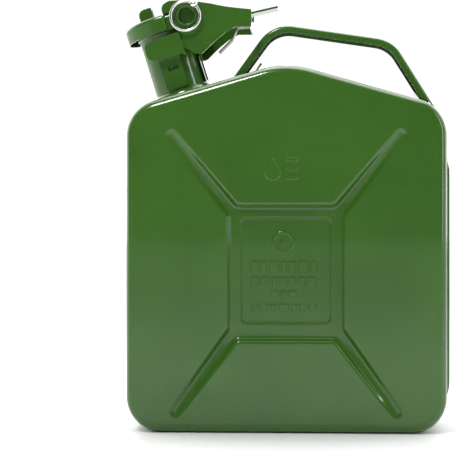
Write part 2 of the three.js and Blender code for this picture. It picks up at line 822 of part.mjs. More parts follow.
// A plate on the roof whose inner end lifts; `inward` is the side that lifts.
function handleFoot([x0, x1], inward) {
  const slab = common(
    cut(envelope(gap + footSheet), bodyFit),
    block([x0, x1], [-handleHalfWidth - footMargin, handleHalfWidth + footMargin],
      [handleLowest - 6, 2 * peakHeight]),
  );
  const liftX = inward > 0 ? x1 : x0;
  const roofZ = roofHeight(liftX, sideDraft + gap);
  const lift = plateY([
    point(liftX - inward * 1.5, roofZ + 0.3),
    point(liftX, roofZ + 0.5),
    point(liftX + inward * 4, roofZ + footLift),
    point(liftX + inward * 2.5, roofZ + footLift + 0.8),
  ], [-handleHalfWidth, handleHalfWidth]);
  return cut(join(slab, lift), bodyFit);
}

// ---- finishes -----------------------------------------------------------------------------------
const greenPaint = () => new THREE.MeshStandardMaterial({ color: 0x2f5a1c, roughness: 0.28, metalness: 0.1 });
const brightSteel = () => new THREE.MeshStandardMaterial({ color: 0xc9cbc6, roughness: 0.25, metalness: 1 });
const springSteel = () => new THREE.MeshStandardMaterial({ color: 0x3a3d38, roughness: 0.4, metalness: 0.9 });
const blackRubber = () => new THREE.MeshStandardMaterial({ color: 0x161616, roughness: 0.8, metalness: 0 });

// ---- the assembly -------------------------------------------------------------------------------
function piece(name, geometry, material) {
  const mesh = new THREE.Mesh(geometry, material());
  mesh.name = name;
  return mesh;
}

const can = new THREE.Group();
can.add(
  piece('front_shell', shell(0), greenPaint),
  piece('rear_shell', shell(Math.PI), greenPaint),
  piece('seam_weld', seamWeld(), greenPaint),
  piece('neck_collar', neckCollar(), greenPaint),
  piece('breather_pipe', breatherPipe(), brightSteel),
  piece('handle', handle(), greenPaint),
  piece('handle_foot_left', handleFoot(leftFoot, 1), greenPaint),
  piece('handle_foot_right', handleFoot(rightFoot, -1), greenPaint),
);

const neck = new THREE.Group();
neck.applyMatrix4(neckFrame);
const keeperFar = piece('keeper_far', keeper(), greenPaint);
keeperFar.scale.y = -1;
neck.add(
  piece('filler_neck', fillerNeck(), greenPaint),
  piece('breather_clip', breatherClip(), brightSteel),
  piece('keeper_near', keeper(), greenPaint),
  keeperFar,
  piece('hinge_bracket', hingeBracket(), greenPaint),
  piece('hinge_pin', barY(hingePinRadius, [-lidFlat, lidFlat], hingeAt.v, hingeAt.u, 20), brightSteel),
);

const lidGroup = new THREE.Group();
const cupNear = piece('pivot_cup_near', pivotCup(), greenPaint);
const cupFar = piece('pivot_cup_far', pivotCup(), greenPaint);
cupNear.position.set(pivotAt.v, 0, pivotAt.u);
cupFar.position.set(pivotAt.v, 0, pivotAt.u);
cupFar.scale.y = -1;
lidGroup.add(
  piece('lid', lid(), greenPaint),
  piece('lid_strap', lidStrap(), greenPaint),
  piece('lid_rivet', lidRivet(), greenPaint),
  piece('gasket_plate', gasketPlate(), brightSteel),
  piece('gasket', turned(ringProfile(gasketInner, gasketOuter, gasketBottom, gasketTop)), blackRubber),
  cupNear,
  cupFar,
);
neck.add(lidGroup);

const leverGroup = new THREE.Group();
leverGroup.position.set(pivotAt.v, 0, pivotAt.u);
leverGroup.rotation.y = neckLean;
leverGroup.add(
  piece('lever', lever(), greenPaint),
  piece('hold_open_spring', holdOpenSpring(), springSteel),
  piece('spring_rivet', springRivet(), greenPaint),
  piece('locking_pin', lockingPin(), brightSteel),
  piece('pull_ring', pullRing(), brightSteel),
);
lidGroup.add(leverGroup);
can.add(neck);

export default can;
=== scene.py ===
# %% [markdown]
# # A 5 litre pressed-steel jerry can with a cam-lever cap
# The real can is two deep-pressed halves of thin sheet, welded to each other along a narrow flange.
# A leaning neck, a strap handle and a cap with a cam lever are welded or pinned to them, and all but a
# few small parts are sprayed with gloss enamel. The CAD model holds every size and every joint. This
# file loads it as a fixed frame and builds the finer surfaces around it: soft press radii, rolled lips,
# domed rivet heads and the finishes.

# %% Load the frame
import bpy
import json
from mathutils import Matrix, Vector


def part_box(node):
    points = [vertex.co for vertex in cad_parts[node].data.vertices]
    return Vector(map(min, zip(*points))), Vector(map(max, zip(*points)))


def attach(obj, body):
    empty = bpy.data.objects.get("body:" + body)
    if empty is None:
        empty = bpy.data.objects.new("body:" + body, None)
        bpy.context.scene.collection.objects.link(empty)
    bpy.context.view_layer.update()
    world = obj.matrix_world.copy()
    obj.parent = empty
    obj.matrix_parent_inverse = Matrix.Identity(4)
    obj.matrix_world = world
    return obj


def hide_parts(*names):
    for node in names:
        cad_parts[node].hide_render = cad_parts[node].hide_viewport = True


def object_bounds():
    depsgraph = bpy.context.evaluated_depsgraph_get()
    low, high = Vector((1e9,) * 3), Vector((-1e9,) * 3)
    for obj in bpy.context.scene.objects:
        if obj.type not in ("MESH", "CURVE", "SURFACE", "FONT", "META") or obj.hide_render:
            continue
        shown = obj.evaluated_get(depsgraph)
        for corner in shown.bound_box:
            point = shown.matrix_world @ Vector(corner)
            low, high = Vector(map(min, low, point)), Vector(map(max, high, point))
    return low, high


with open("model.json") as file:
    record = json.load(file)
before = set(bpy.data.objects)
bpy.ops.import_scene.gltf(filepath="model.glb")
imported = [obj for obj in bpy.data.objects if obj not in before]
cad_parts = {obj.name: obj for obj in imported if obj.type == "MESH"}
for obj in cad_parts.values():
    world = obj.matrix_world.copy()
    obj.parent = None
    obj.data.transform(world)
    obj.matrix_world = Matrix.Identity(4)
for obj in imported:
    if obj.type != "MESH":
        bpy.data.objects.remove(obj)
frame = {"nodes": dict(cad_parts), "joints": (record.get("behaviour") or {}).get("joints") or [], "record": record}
cad_low, cad_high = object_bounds()
print("CAD box, m:", [round(v, 4) for v in cad_low], [round(v, 4) for v in cad_high])

# %% [markdown]
# Sizes below are in millimetres, as on a workshop drawing, and become metres when a mesh is made. Each
# CAD node knows the body that it moves with, so a new piece can look up where it rides.

# %% Modules, units and the record
import json
import math

import bmesh
import bpy
from mathutils import Matrix, Vector
from mathutils.geometry import tessellate_polygon

MM = 0.001
behaviour = frame["record"]["behaviour"]
BODY_OF = {node: body for body, nodes in behaviour["bodies"].items() for node in nodes}
JOINT = {joint["name"]: joint for joint in frame["joints"]}

# %% [markdown]
# The neck leans, and everything on it is easiest to think of in the neck's own frame: v across the
# neck towards the handle, u up along it. The hinge pin's place in the frame fixes that frame exactly.
# The lever has an upright frame of its own about its pivot.

# %% The neck's frame and the lever's frame
NECK_LEAN = math.radians(17.5)
NECK_RADIUS, NECK_HEIGHT = 20.0, 50.0
HINGE_V, HINGE_U = NECK_RADIUS + 8, NECK_HEIGHT - 6
PIVOT_V, PIVOT_U = NECK_RADIUS + 0.9, NECK_HEIGHT + 3.2
HINGE = Vector(JOINT["lid_hinge"]["pos_m"])
PIVOT = Vector(JOINT["lever_pivot"]["pos_m"])
NECK_TURN = Matrix.Rotation(-NECK_LEAN, 4, "Y")
NECK = Matrix.Translation(HINGE - NECK_TURN @ (Vector((HINGE_V, 0, HINGE_U)) * MM)) @ NECK_TURN
LEVER = Matrix.Translation(PIVOT)
PIVOT_MISS = (NECK @ (Vector((PIVOT_V, 0, PIVOT_U)) * MM) - PIVOT).length / MM
print("the lever's pivot is", round(PIVOT_MISS, 3), "mm from where the neck's frame puts it")

# %% [markdown]
# ## Outlines
# Sheet-metal parts are outlines with round corners that are moved in and out: a press radius is the
# same outline again, a little smaller and a little deeper. A point of an outline is one complex number,
# which makes turning and rotating it a multiplication. Because every offset keeps the same number of
# points, neighbouring outlines can be joined by clean quads.

# %% Rounded outlines
def rounded_loop(corners, offset=0.0, arc_steps=10, edge_steps=None):
    """A closed outline through corners (x, z, radius), anticlockwise, moved outwards by offset.
    edge_steps says into how many steps the edge after a corner is divided."""
    edge_steps = edge_steps or [1] * len(corners)
    spots = [complex(x, z) for x, z, _ in corners]
    runs = []
    for spot, ahead in zip(spots, spots[1:] + spots[:1]):
        along = (ahead - spot) / abs(ahead - spot)
        runs.append((along, spot - 1j * along * offset))
    arcs = []
    for i, (_, _, corner_radius) in enumerate(corners):
        (before, start), (after, ahead) = runs[i - 1], runs[i]
        bend = before.conjugate() * after
        side = math.copysign(1, bend.imag)
        reach = ((ahead - start).conjugate() * after).imag / bend.imag
        radius = max(corner_radius + side * offset, 0.12)
        angle = math.atan2(bend.imag, bend.real)
        first = start + before * (reach - radius * math.tan(abs(angle) / 2))
        centre = first + 1j * before * side * radius
        turns = [complex(math.cos(angle * s / arc_steps), math.sin(angle * s / arc_steps))
                 for s in range(arc_steps + 1)]
        arcs.append([centre + (first - centre) * turn for turn in turns])
    loop = []
    for arc, following, count in zip(arcs, arcs[1:] + arcs[:1], edge_steps):
        loop += arc + [arc[-1] + (following[0] - arc[-1]) * s / count for s in range(1, count)]
    return loop


def press_profile(width, depth, radius, steps=5):
    """(offset, depth) pairs down a pressed wall, with a press radius at its top and at its foot."""
    slope = math.atan2(abs(depth), width)
    tangent = radius * math.tan(slope / 2)
    sign = math.copysign(1, depth)
    turns = [slope * s / steps for s in range(steps + 1)]
    top = [(tangent - radius * math.sin(a), sign * radius * (1 - math.cos(a))) for a in turns]
    foot = [(-width - x, depth - z) for x, z in reversed(top)]
    return top + foot


print("a 10 mm square with 2 mm corners:", len(rounded_loop(
    [(0, 0, 2), (10, 0, 2), (10, 10, 2), (0, 10, 2)])), "points")

# %% [markdown]
# ## Collecting a surface
# One small class gathers rings of points and the faces between them. It can join two rings with quads
# and fill a flat region that has holes in it. Turning the collected lists into a mesh object, with
# smooth shading that stays crisp at real edges, is the same for every piece.

# %% A surface collector
CRISP = math.radians(34)
SUPPORT = 0.5


class Surface:
    def __init__(self):
        self.points, self.faces = [], []

    def ring(self, points):
        """Adds points given in millimetres, and returns their numbers."""
        start = len(self.points)
        self.points += [Vector(p) for p in points]
        return list(range(start, len(self.points)))

    def strip(self, a, b, closed=True):
        last = len(a) if closed else len(a) - 1
        self.faces += [(a[i], a[(i + 1) % len(a)], b[(i + 1) % len(a)], b[i]) for i in range(last)]
        return b

    def strips(self, rings, closed=True):
        for a, b in zip(rings, rings[1:]):
            self.strip(a, b, closed)
        return rings

    def fill(self, outer, *holes):
        """Fills a flat region between an outer ring and any holes."""
        numbers = [n for loop in (outer, *holes) for n in loop]
        loops = [[self.points[n] for n in loop] for loop in (outer, *holes)]
        self.faces += [tuple(numbers[i] for i in tri) for tri in tessellate_polygon(loops)]

    def piece(self, name, placed=Matrix.Identity(4), crisp=CRISP):
        """A mesh object in metres, with its faces all looking outwards."""
        mesh = bpy.data.meshes.new(name)
        mesh.from_pydata([p * MM for p in self.points], [], self.faces)
        mesh.transform(placed)
        built = bmesh.new()
        built.from_mesh(mesh)
        bmesh.ops.remove_doubles(built, verts=built.verts, dist=1e-7)
        bmesh.ops.recalc_face_normals(built, faces=built.faces)
        built.to_mesh(mesh)
        built.free()
        return as_object(name, mesh, crisp)


def as_object(name, mesh, crisp=CRISP):
    mesh.polygons.foreach_set("use_smooth", [True] * len(mesh.polygons))
    mesh.set_sharp_from_angle(angle=crisp)
    made = bpy.data.objects.new(name, mesh)
    bpy.context.scene.collection.objects.link(made)
    return made


print("surfaces are collected in mm and made in m; an edge over", round(math.degrees(CRISP)),
      "degrees stays crisp")

# %% [markdown]
# ## Modifiers
# A few shapes are quickest to get the way that a workshop gets them: thicken a sheet, drill a hole,
# break a sharp edge. Solidify, Boolean and Bevel do that. What the first two make is copied back into
# the mesh, so that later steps can work on plain geometry. The bevel stays a modifier; it is there
# because a real edge always catches a thin line of light.

# %% Helpers around modifiers
def settle(piece, crisp=CRISP):
    """Puts what the modifiers make into the mesh itself."""
    evaluated = piece.evaluated_get(bpy.context.evaluated_depsgraph_get())
    mesh = bpy.data.meshes.new_from_object(evaluated)
    piece.modifiers.clear()
    piece.data = mesh
    mesh.polygons.foreach_set("use_smooth", [True] * len(mesh.polygons))
    mesh.set_sharp_from_angle(angle=crisp)
    return piece


def combine(piece, tools, operation, crisp=CRISP):
    """Joins solids to a piece, or cuts them out of it, and removes the tools."""
    for tool in tools:
        step = piece.modifiers.new("combine", "BOOLEAN")
        step.operation, step.solver, step.object = operation, "MANIFOLD", tool
    bpy.context.view_layer.update()
    settle(piece, crisp)
    for tool in tools:
        bpy.data.objects.remove(tool)
    return piece


def thicken(piece, sheet):
    step = piece.modifiers.new("sheet", "SOLIDIFY")
    step.thickness, step.offset = sheet * MM, -1
    bpy.context.view_layer.update()
    return settle(piece)


def break_edges(piece, width, segments=3, above=32):
    """Rounds every edge that is sharper than an angle in degrees."""
    step = piece.modifiers.new("edges", "BEVEL")
    step.width, step.segments = width * MM, segments
    step.limit_method, step.angle_limit = "ANGLE", math.radians(above)
    piece.modifiers.new("even", "WEIGHTED_NORMAL")
    return piece


def bar(radius, low, high, place, turn="Y", sides=64):
    """A plain round solid for drilling, along an axis of the frame that place gives."""
    rods = Surface()
    ends = [[(radius * math.cos(2 * math.pi * k / sides), radius * math.sin(2 * math.pi * k / sides), h)
             for k in range(sides)] for h in (low, high)]
    first, last = (rods.ring(end) for end in ends)
    rods.strip(first, last)
    rods.faces += [tuple(first), tuple(last)]
    aim = {"Z": Matrix.Identity(4), "Y": Matrix.Rotation(math.radians(-90), 4, "X"),
           "X": Matrix.Rotation(math.radians(90), 4, "Y")}[turn]
    return rods.piece("drill", place @ aim)


def at(frame_matrix, x=0.0, y=0.0, z=0.0):
    return frame_matrix @ Matrix.Translation(Vector((x, y, z)) * MM)


built = []


def fit(piece, *nodes, finish=None):
    """The piece stands for CAD nodes, rides on their body and takes their finish."""
    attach(piece, BODY_OF[nodes[0]])
    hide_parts(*nodes)
    built.append((piece, finish))
    low = [min(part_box(n)[0][i] for n in nodes) for i in range(3)]
    high = [max(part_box(n)[1][i] for n in nodes) for i in range(3)]
    corners = [piece.matrix_world @ v.co for v in piece.data.vertices]
    over = max(max(low[i] - min(c[i] for c in corners), max(c[i] for c in corners) - high[i])
               for i in range(3)) / MM
    print(f"{piece.name}: {len(piece.data.vertices)} points, {over:+.2f} mm against its CAD box")
    return piece


# %% [markdown]
# ## Turned and refined parts
# Necks, cups, rivets and seals are solids of revolution, so each is a profile spun about an axis.
# Brackets and straps are already the right shape in the CAD model. A copy of the CAD mesh gets its flat
# triangles merged and its edges broken, which is all that a pressed bracket needs.

# %% Spinning a profile, and refining a bracket
def spun(name, profile, placed, sides=96, crisp=CRISP):
    """A profile of (radius, height), closed by itself or by the axis, spun about Z."""
    turned = Surface()
    rings = []
    for radius, height in profile:
        if radius < 1e-6:
            rings.append(turned.ring([(0, 0, height)]) * sides)
        else:
            rings.append(turned.ring([(radius * math.cos(2 * math.pi * k / sides),
                                       radius * math.sin(2 * math.pi * k / sides), height)
                                      for k in range(sides)]))
    closed = profile[0][0] > 1e-6
    for a, b in zip(rings, rings[1:] + (rings[:1] if closed else [])):
        for k in range(sides):
            corners = [a[k], a[(k + 1) % sides], b[(k + 1) % sides], b[k]]
            face = [c for i, c in enumerate(corners) if c not in corners[:i]]
            if len(face) > 2:
                turned.faces.append(tuple(face))
    return turned.piece(name, placed, crisp)


def rounded_profile(corners, arc_steps=5):
    """A closed profile with every corner rounded; each corner is (radius, height, rounding)."""
    return [(p.real, p.imag) for p in rounded_loop(corners, 0.0, arc_steps)]


def refined(name, node, width=0.35, segments=3):
    """A bracket: the CAD shape with its triangles merged and its edges broken."""
    mesh = frame["nodes"][node].data.copy()
    mesh.name = name
    mesh.materials.clear()
    shape = bmesh.new()
    shape.from_mesh(mesh)
    bmesh.ops.remove_doubles(shape, verts=shape.verts, dist=2e-6)
    bmesh.ops.dissolve_limit(shape, angle_limit=math.radians(1.2), verts=shape.verts,
                             edges=shape.edges)
    bmesh.ops.recalc_face_normals(shape, faces=shape.faces)
    for layer in list(shape.loops.layers.uv):
        shape.loops.layers.uv.remove(layer)
    shape.to_mesh(mesh)
    shape.free()
    if mesh.has_custom_normals:
        mesh.attributes.remove(mesh.attributes["custom_normal"])
    piece = as_object(name, mesh, math.radians(40))
    return break_edges(piece, width, segments)


# %% [markdown]
# ## The two pressed halves
# One half is a deep tray: a flat face, a 7 mm press radius, a side wall that widens by 2.4 mm towards
# the seam so that the tray comes off its die, and a narrow weld flange. The bottom wall lifts near the
# seam, so the can stands on two feet. The flange fades out under the shoulders, where the roof's seam is
# a flush butt weld, so each ring of points is blended between the two shapes by height.

# %% The body's outline and its side wall
BODY_HALF_WIDTH, BODY_HALF_DEPTH, PEAK = 116.6, 55.0, 269.8
ROOF_SLOPE = math.radians(16)
SHOULDER = PEAK - BODY_HALF_WIDTH * math.tan(ROOF_SLOPE)
BOTTOM_CORNER, TOP_CORNER, PEAK_RADIUS = 26.0, 27.0, 70.0
ARC_STEPS, EDGE_STEPS = 16, 24
RIM, DRAFT, WALL = 7.0, 2.4, 1.0
STRAIGHT = BODY_HALF_DEPTH - RIM
FLANGE, HALF_SEAM = 1.5, 0.15
GROOVE_RISE, GROOVE_HALF, GROOVE_SOFTNESS = 5.5, 10.0, 0.02
FLANGE_END, FLANGE_FADE = 206.0, 14.0


def body_outline(offset, lift=0.0):
    corners = [(-BODY_HALF_WIDTH, lift, BOTTOM_CORNER), (BODY_HALF_WIDTH, lift, BOTTOM_CORNER),
               (BODY_HALF_WIDTH, SHOULDER, TOP_CORNER), (0, PEAK, PEAK_RADIUS),
               (-BODY_HALF_WIDTH, SHOULDER, TOP_CORNER)]
    return rounded_loop(corners, offset, ARC_STEPS, [EDGE_STEPS] * len(corners))


def draft_at(y):
    return DRAFT * (1 - max(y, 0) / STRAIGHT)


def rise_at(y):
    share = 1 - y / GROOVE_HALF
    return GROOVE_RISE * (math.sqrt(share * share + GROOVE_SOFTNESS) + share) / 2


def flange_share(z):
    share = min(max((FLANGE_END - z) / FLANGE_FADE, 0), 1)
    return share * share * (3 - 2 * share)


def seam_ring(roof, flange):
    """A ring near the seam: (offset, y) on the roof, and another where there is a flange."""
    lift = draft_at(0) + rise_at(0)
    high, low = body_outline(roof[0], lift), body_outline(flange[0], lift)
    ring = []
    for a, b in zip(high, low):
        share = flange_share(a.imag)
        spot = a + (b - a) * share
        ring.append((spot.real, -(roof[1] + (flange[1] - roof[1]) * share), spot.imag))
    return ring


def wall_ring(y):
    return [(p.real, -y, p.imag) for p in body_outline(draft_at(y), draft_at(y) + rise_at(y))]


print("the flange fades out between", FLANGE_END - FLANGE_FADE, "and", FLANGE_END, "mm up")

# %% [markdown]
# The broad face carries an X-shaped pressing that stops the sheet from drumming: a sunk rectangle with
# an arm to each corner, and a second, shallower panel inside it. The outline below is one closed loop
# with a round end on each arm. Round ends matter, because a pressing tool can't make sharp ones.

# %% The outline of the X-shaped pressing
RECESS_HALF, RECESS_LOW, RECESS_HIGH = 42.7, 66.4, 166.0
RECESS_DEPTH, RECESS_SLOPE, RECESS_RADIUS = 4.5, 2.6, 2.2
ARM_ROOT, ARM_TIP = 6.0, 4.3
ARM_ROOT_RADIUS = 3.5
UPPER_TIP, LOWER_TIP = (83.0, 216.0), (80.0, 16.0)


def pressing_corners():
    corners = []
    for sx, sz, tip, z in ((-1, -1, LOWER_TIP, RECESS_LOW), (1, -1, LOWER_TIP, RECESS_LOW),
                           (1, 1, UPPER_TIP, RECESS_HIGH), (-1, 1, UPPER_TIP, RECESS_HIGH)):
        root, end = complex(sx * RECESS_HALF, z), complex(sx * tip[0], tip[1])
        along = (end - root) / abs(end - root)
        across = 1j * along
        level = complex(root.real - sx * ARM_ROOT / abs(along.imag), z)
        upright = complex(root.real, z - sz * ARM_ROOT / abs(along.real))
        first, last = (upright, level) if sx * sz > 0 else (level, upright)
        nose = end + along * ARM_TIP
        corners += [(first, ARM_ROOT_RADIUS), (nose - across * ARM_TIP, ARM_TIP),
                    (nose + across * ARM_TIP, ARM_TIP), (last, ARM_ROOT_RADIUS)]
    return [(c.real, c.imag, r) for c, r in corners]


PRESSING = pressing_corners()
PANEL = [(-33, 79, 4), (33, 79, 4), (33, 156.5, 4), (-33, 156.5, 4)]
PANEL_DEPTH, PANEL_SLOPE, PANEL_RADIUS = 1.6, 1.2, 0.85
print("the pressing spans", round(2 * UPPER_TIP[0]), "mm between its upper arms")

# %% [markdown]
# Where a real can shows its capacity and its maker's data, this one has plain raised marks with no
# meaning: a drop, a stack of level bars, and rows of blocks under a ring. They are raised by the same
# press, so they have soft edges too.

# %% Outlines of the raised marks
MARK_RISE, MARK_SLOPE, MARK_RADIUS = 0.55, 0.45, 0.35


def slab(x, z, half_width, half_height, radius):
    return [(x - half_width, z - half_height, radius), (x + half_width, z - half_height, radius),
            (x + half_width, z + half_height, radius), (x - half_width, z + half_height, radius)]


def drop(x, z, size):
    """A drop that points up; size is its height from the middle of its round end."""
    return [(x, z + size, 0.09 * size), (x - 0.97 * size, z - 0.55 * size, 0.51 * size),
            (x + 0.97 * size, z - 0.55 * size, 0.51 * size)]


def disc(x, z, radius):
    reach = radius * math.tan(math.pi / 8)
    spots = [(radius, reach), (reach, radius), (-reach, radius), (-radius, reach),
             (-radius, -reach), (-reach, -radius), (reach, -radius), (radius, -reach)]
    return [(x + a, z + b, radius) for a, b in spots]


FACE_MARKS = [drop(-9.5, 189.2, 11.0)]
FACE_MARKS += [slab(4.6, 185.4 + 6.6 * k, 4.6, 1.7, 1.3) for k in range(3)]
BLOCK_ROWS = [(120.5, 4.3, [2.9, 2.1, 3.5, 2.1, 2.6, 3.5, 2.4]),
              (109.9, 3.6, [2.4, 3.4, 1.9, 2.9, 2.1, 2.7, 3.2]),
              (100.7, 2.7, [2.7, 1.9, 3.0]),
              (91.1, 2.7, [2.1, 3.0, 2.1, 3.7, 2.1, 2.6, 2.7])]
BLOCK_SPACE, BLOCK_CORNER, BLOCKS_MIDDLE = 1.7, 1.1, -1.5


def block_row(z, half_height, half_widths):
    x = -sum(half_widths) - BLOCK_SPACE * (len(half_widths) - 1) / 2 + BLOCKS_MIDDLE
    row = []
    for half in half_widths:
        row.append(slab(x + half, z, half, half_height, BLOCK_CORNER))
        x += 2 * half + BLOCK_SPACE
    return row


PANEL_MARKS = [mark for row in BLOCK_ROWS for mark in block_row(*row)]
RING_AT, RING_OUTER, RING_INNER = (-2.0, 138.5), 8.4, 6.5
print(len(FACE_MARKS) + len(PANEL_MARKS), "raised marks and a ring on each face")

# %% [markdown]
# A pressed wall is a run of rings down a profile. The same call makes a recess and a raised mark: only
# the sign of the depth differs. The arms of the X run out flat, so their depth fades along them. Each
# flat gets a narrow strip of quads beside the curve, so that the flat stays truly flat when it is
# shaded smooth.

# %% Pressing a wall into the face
ARM_FADE, ARM_END_SHARE = 0.90, 0.12


def arm_share(spot):
    """The share of the full depth at a point: 1 in the rectangle, less along each arm."""
    tip, z = (UPPER_TIP, RECESS_HIGH) if spot.imag > PEAK / 2 else (LOWER_TIP, RECESS_LOW)
    root, end = complex(RECESS_HALF, z), complex(*tip)
    away = (complex(abs(spot.real), spot.imag) - root) / (end - root)
    along = min(max(away.real, 0), 1)
    return 1 - ARM_FADE * along ** 1.25 * (1 - ARM_END_SHARE)


def press(surface, corners, start, profile, arc_steps, fade=None):
    """Rings down a profile from a depth; returns the first ring and the last."""
    reach = profile[0][0] + SUPPORT, profile[-1][0] - SUPPORT
    steps = [(reach[0], profile[0][1])] + profile
    # A recess gets its inner strip only where its corners are round enough for it.
    if profile[-1][0] - SUPPORT > -(min(c[2] for c in corners)) - 0.05 or profile[-1][1] < 0:
        steps.append((reach[1], profile[-1][1]))
    divided = [16 if fade and i % 4 != 1 else 1 for i in range(len(corners))]
    rings = [surface.ring([(p.real, -(BODY_HALF_DEPTH - start - deep * (fade(p) if fade else 1)), p.imag)
                           for p in rounded_loop(corners, offset, arc_steps, divided)])
             for offset, deep in steps]
    surface.strips(rings)
    return rings[0], rings[-1]


def raise_mark(surface, corners, start):
    outer, top = press(surface, corners, start,
                       press_profile(MARK_SLOPE, -MARK_RISE, MARK_RADIUS, 3), 4)
    surface.fill(top)
    return outer


def raise_ring(surface, start):
    """A raised ring with a drop inside it; returns its outer edge."""
    corners = disc(*RING_AT, RING_OUTER)
    outer, top = press(surface, corners, start, press_profile(0.4, -MARK_RISE, 0.3, 3), 4)
    lip, floor = press(surface, disc(*RING_AT, RING_INNER), start - MARK_RISE,
                       press_profile(0.4, MARK_RISE, 0.3, 3), 4)
    surface.fill(top, lip)
    surface.fill(floor, raise_mark(surface, drop(RING_AT[0], RING_AT[1] - 0.7, 4.4), start))
    return outer


# %% [markdown]
# The half is put together from the seam to the middle of the face, then given its sheet thickness on
# the inside and drilled for the neck. The back half is the same pressing turned round.

# %% Build the front half and the back half
FLANGE_FACE = HALF_SEAM + WALL
SEAM_STEPS = [((DRAFT, HALF_SEAM), (DRAFT + FLANGE, FLANGE_FACE)),
              ((DRAFT, 0.5), (DRAFT + FLANGE - 0.35, FLANGE_FACE + 0.02)),
              ((DRAFT, 0.8), (DRAFT + 0.75, FLANGE_FACE + 0.05)),
              ((DRAFT, 1.1), (DRAFT + 0.25, FLANGE_FACE + 0.2)),
              ((DRAFT - 0.03, 1.6), (DRAFT - 0.03, FLANGE_FACE + 0.7))]
WALL_STEPS = [2.6, 4, 6, 7.5, 8.5, 9.3, 10, 10.7, 11.5, 13, 16, 24, STRAIGHT - SUPPORT, STRAIGHT]
RIM_STEPS = 12


def tray():
    half = Surface()
    sides = [seam_ring(roof, flange) for roof, flange in SEAM_STEPS]
    sides += [wall_ring(y) for y in WALL_STEPS]
    for step in range(1, RIM_STEPS + 1):
        angle = math.pi / 2 * step / RIM_STEPS
        drawn = RIM * (1 - math.cos(angle))
        sides.append([(p.real, -(STRAIGHT + RIM * math.sin(angle)), p.imag)
                      for p in body_outline(-drawn)])
    sides.append([(p.real, -BODY_HALF_DEPTH, p.imag) for p in body_outline(-RIM - SUPPORT)])
    edge = half.strips([half.ring(ring) for ring in sides])[-1]
    rim, floor = press(half, PRESSING, 0.0,
                       press_profile(RECESS_SLOPE, RECESS_DEPTH, RECESS_RADIUS), 6, arm_share)
    half.fill(edge, rim, *[raise_mark(half, mark, 0.0) for mark in FACE_MARKS])
    lip, bed = press(half, PANEL, RECESS_DEPTH,
                     press_profile(PANEL_SLOPE, PANEL_DEPTH, PANEL_RADIUS, 4), 6)
    half.fill(floor, lip)
    deep = RECESS_DEPTH + PANEL_DEPTH
    half.fill(bed, raise_ring(half, deep), *[raise_mark(half, mark, deep) for mark in PANEL_MARKS])
    return half


NECK_HOLE = NECK_RADIUS + 0.3


def half_can(name, node, turned):
    half = thicken(tray().piece(name), WALL)
    half.data.transform(Matrix.Rotation(turned, 4, "Z"))
    combine(half, [bar(NECK_HOLE, -30, 40, NECK, "Z", 96)], "DIFFERENCE")
    half.modifiers.new("even", "WEIGHTED_NORMAL").keep_sharp = True
    return fit(half, node, finish="green_paint")


half_can("front_half", "front_shell", 0)
half_can("back_half", "rear_shell", math.pi)

# %% [markdown]
# The flange's edge is closed by a weld bead. It runs round the sides and the bottom, and over the roof
# it is ground almost flush. A bead is a small closed profile carried along the outline, and it stops on
# either side of the neck.

# %% The seam's weld bead
BEAD_IN, BEAD_OUT, BEAD_HALF = 3.95, 5.5, 1.7
ROOF_IN, ROOF_OUT, ROOF_HALF = 1.9, 2.66, 1.5
NECK_X = HINGE.x / MM - HINGE_V * math.cos(NECK_LEAN) + HINGE_U * math.sin(NECK_LEAN)


def seam_bead():
    bead = Surface()
    sections = 12
    lift = DRAFT + GROOVE_RISE
    loops = {offset: body_outline(offset, lift) for offset in (0.0, 10.0)}
    rings = []
    for near, far in zip(loops[0.0], loops[10.0]):
        outward = (far - near) / 10
        share = flange_share(near.imag)
        low = ROOF_IN + (BEAD_IN - ROOF_IN) * share
        high = ROOF_OUT + (BEAD_OUT - ROOF_OUT) * share
        half = ROOF_HALF + (BEAD_HALF - ROOF_HALF) * share
        ring = []
        for k in range(sections + 1):
            angle = math.pi * k / sections
            spot = near + outward * (low + (high - low) * math.sin(angle) ** 0.7)
            ring.append((spot.real, -half * math.cos(angle), spot.imag))
        rings.append(ring)
    under_neck = [i for i, ring in enumerate(rings)
                  if ring[6][2] > SHOULDER - 14 and -101 < ring[6][0] < NECK_X + 22]
    first, last = under_neck[0], under_neck[-1]
    kept = [bead.ring(ring) for ring in rings[last + 1:] + rings[:first]]
    bead.strips(kept)
    bead.faces += [tuple(kept[0]), tuple(kept[-1])]
    return bead.piece("seam_bead")


fit(seam_bead(), "seam_weld", finish="green_paint")

# %% [markdown]
# ## The neck
# The neck is a rolled tube. Its mouth is curled outwards into a lip, so that the seal meets a round
# edge and not a cut one. At its foot, a weld fillet follows the roof, which drops away under the
# shoulder's curve. The fillet is one ring of rounded cross-sections, each ending where the roof is.

# %% The filler neck and its weld fillet
NECK_WALL, NECK_INSIDE = 1.2, 8.0
LIP, INNER_CURL = 1.4, 0.9
FILLET_TOE, FILLET_TOP, RIPPLE, RIPPLES = 23.8, 3.4, 0.1, 26


def neck_tube():
    bore, curl = NECK_RADIUS - NECK_WALL, NECK_HEIGHT - LIP
    outer = [(NECK_RADIUS - 0.2 + LIP * math.cos(a), curl + LIP * math.sin(a))
             for a in [math.radians(-78 + 168 * k / 14) for k in range(15)]]
    inner = [(bore + INNER_CURL * (1 - math.cos(a)), NECK_HEIGHT - INNER_CURL * (1 - math.sin(a)))
             for a in [math.radians(90 - 90 * k / 6) for k in range(7)]]
    profile = [(bore, -NECK_INSIDE), (NECK_RADIUS, -NECK_INSIDE), (NECK_RADIUS, 0),
               (NECK_RADIUS, 20), (NECK_RADIUS, 40), (NECK_RADIUS, curl - LIP - 0.3)]
    return spun("neck_tube", profile + outer + inner + [(bore, 40), (bore, 20), (bore, 0)], NECK)


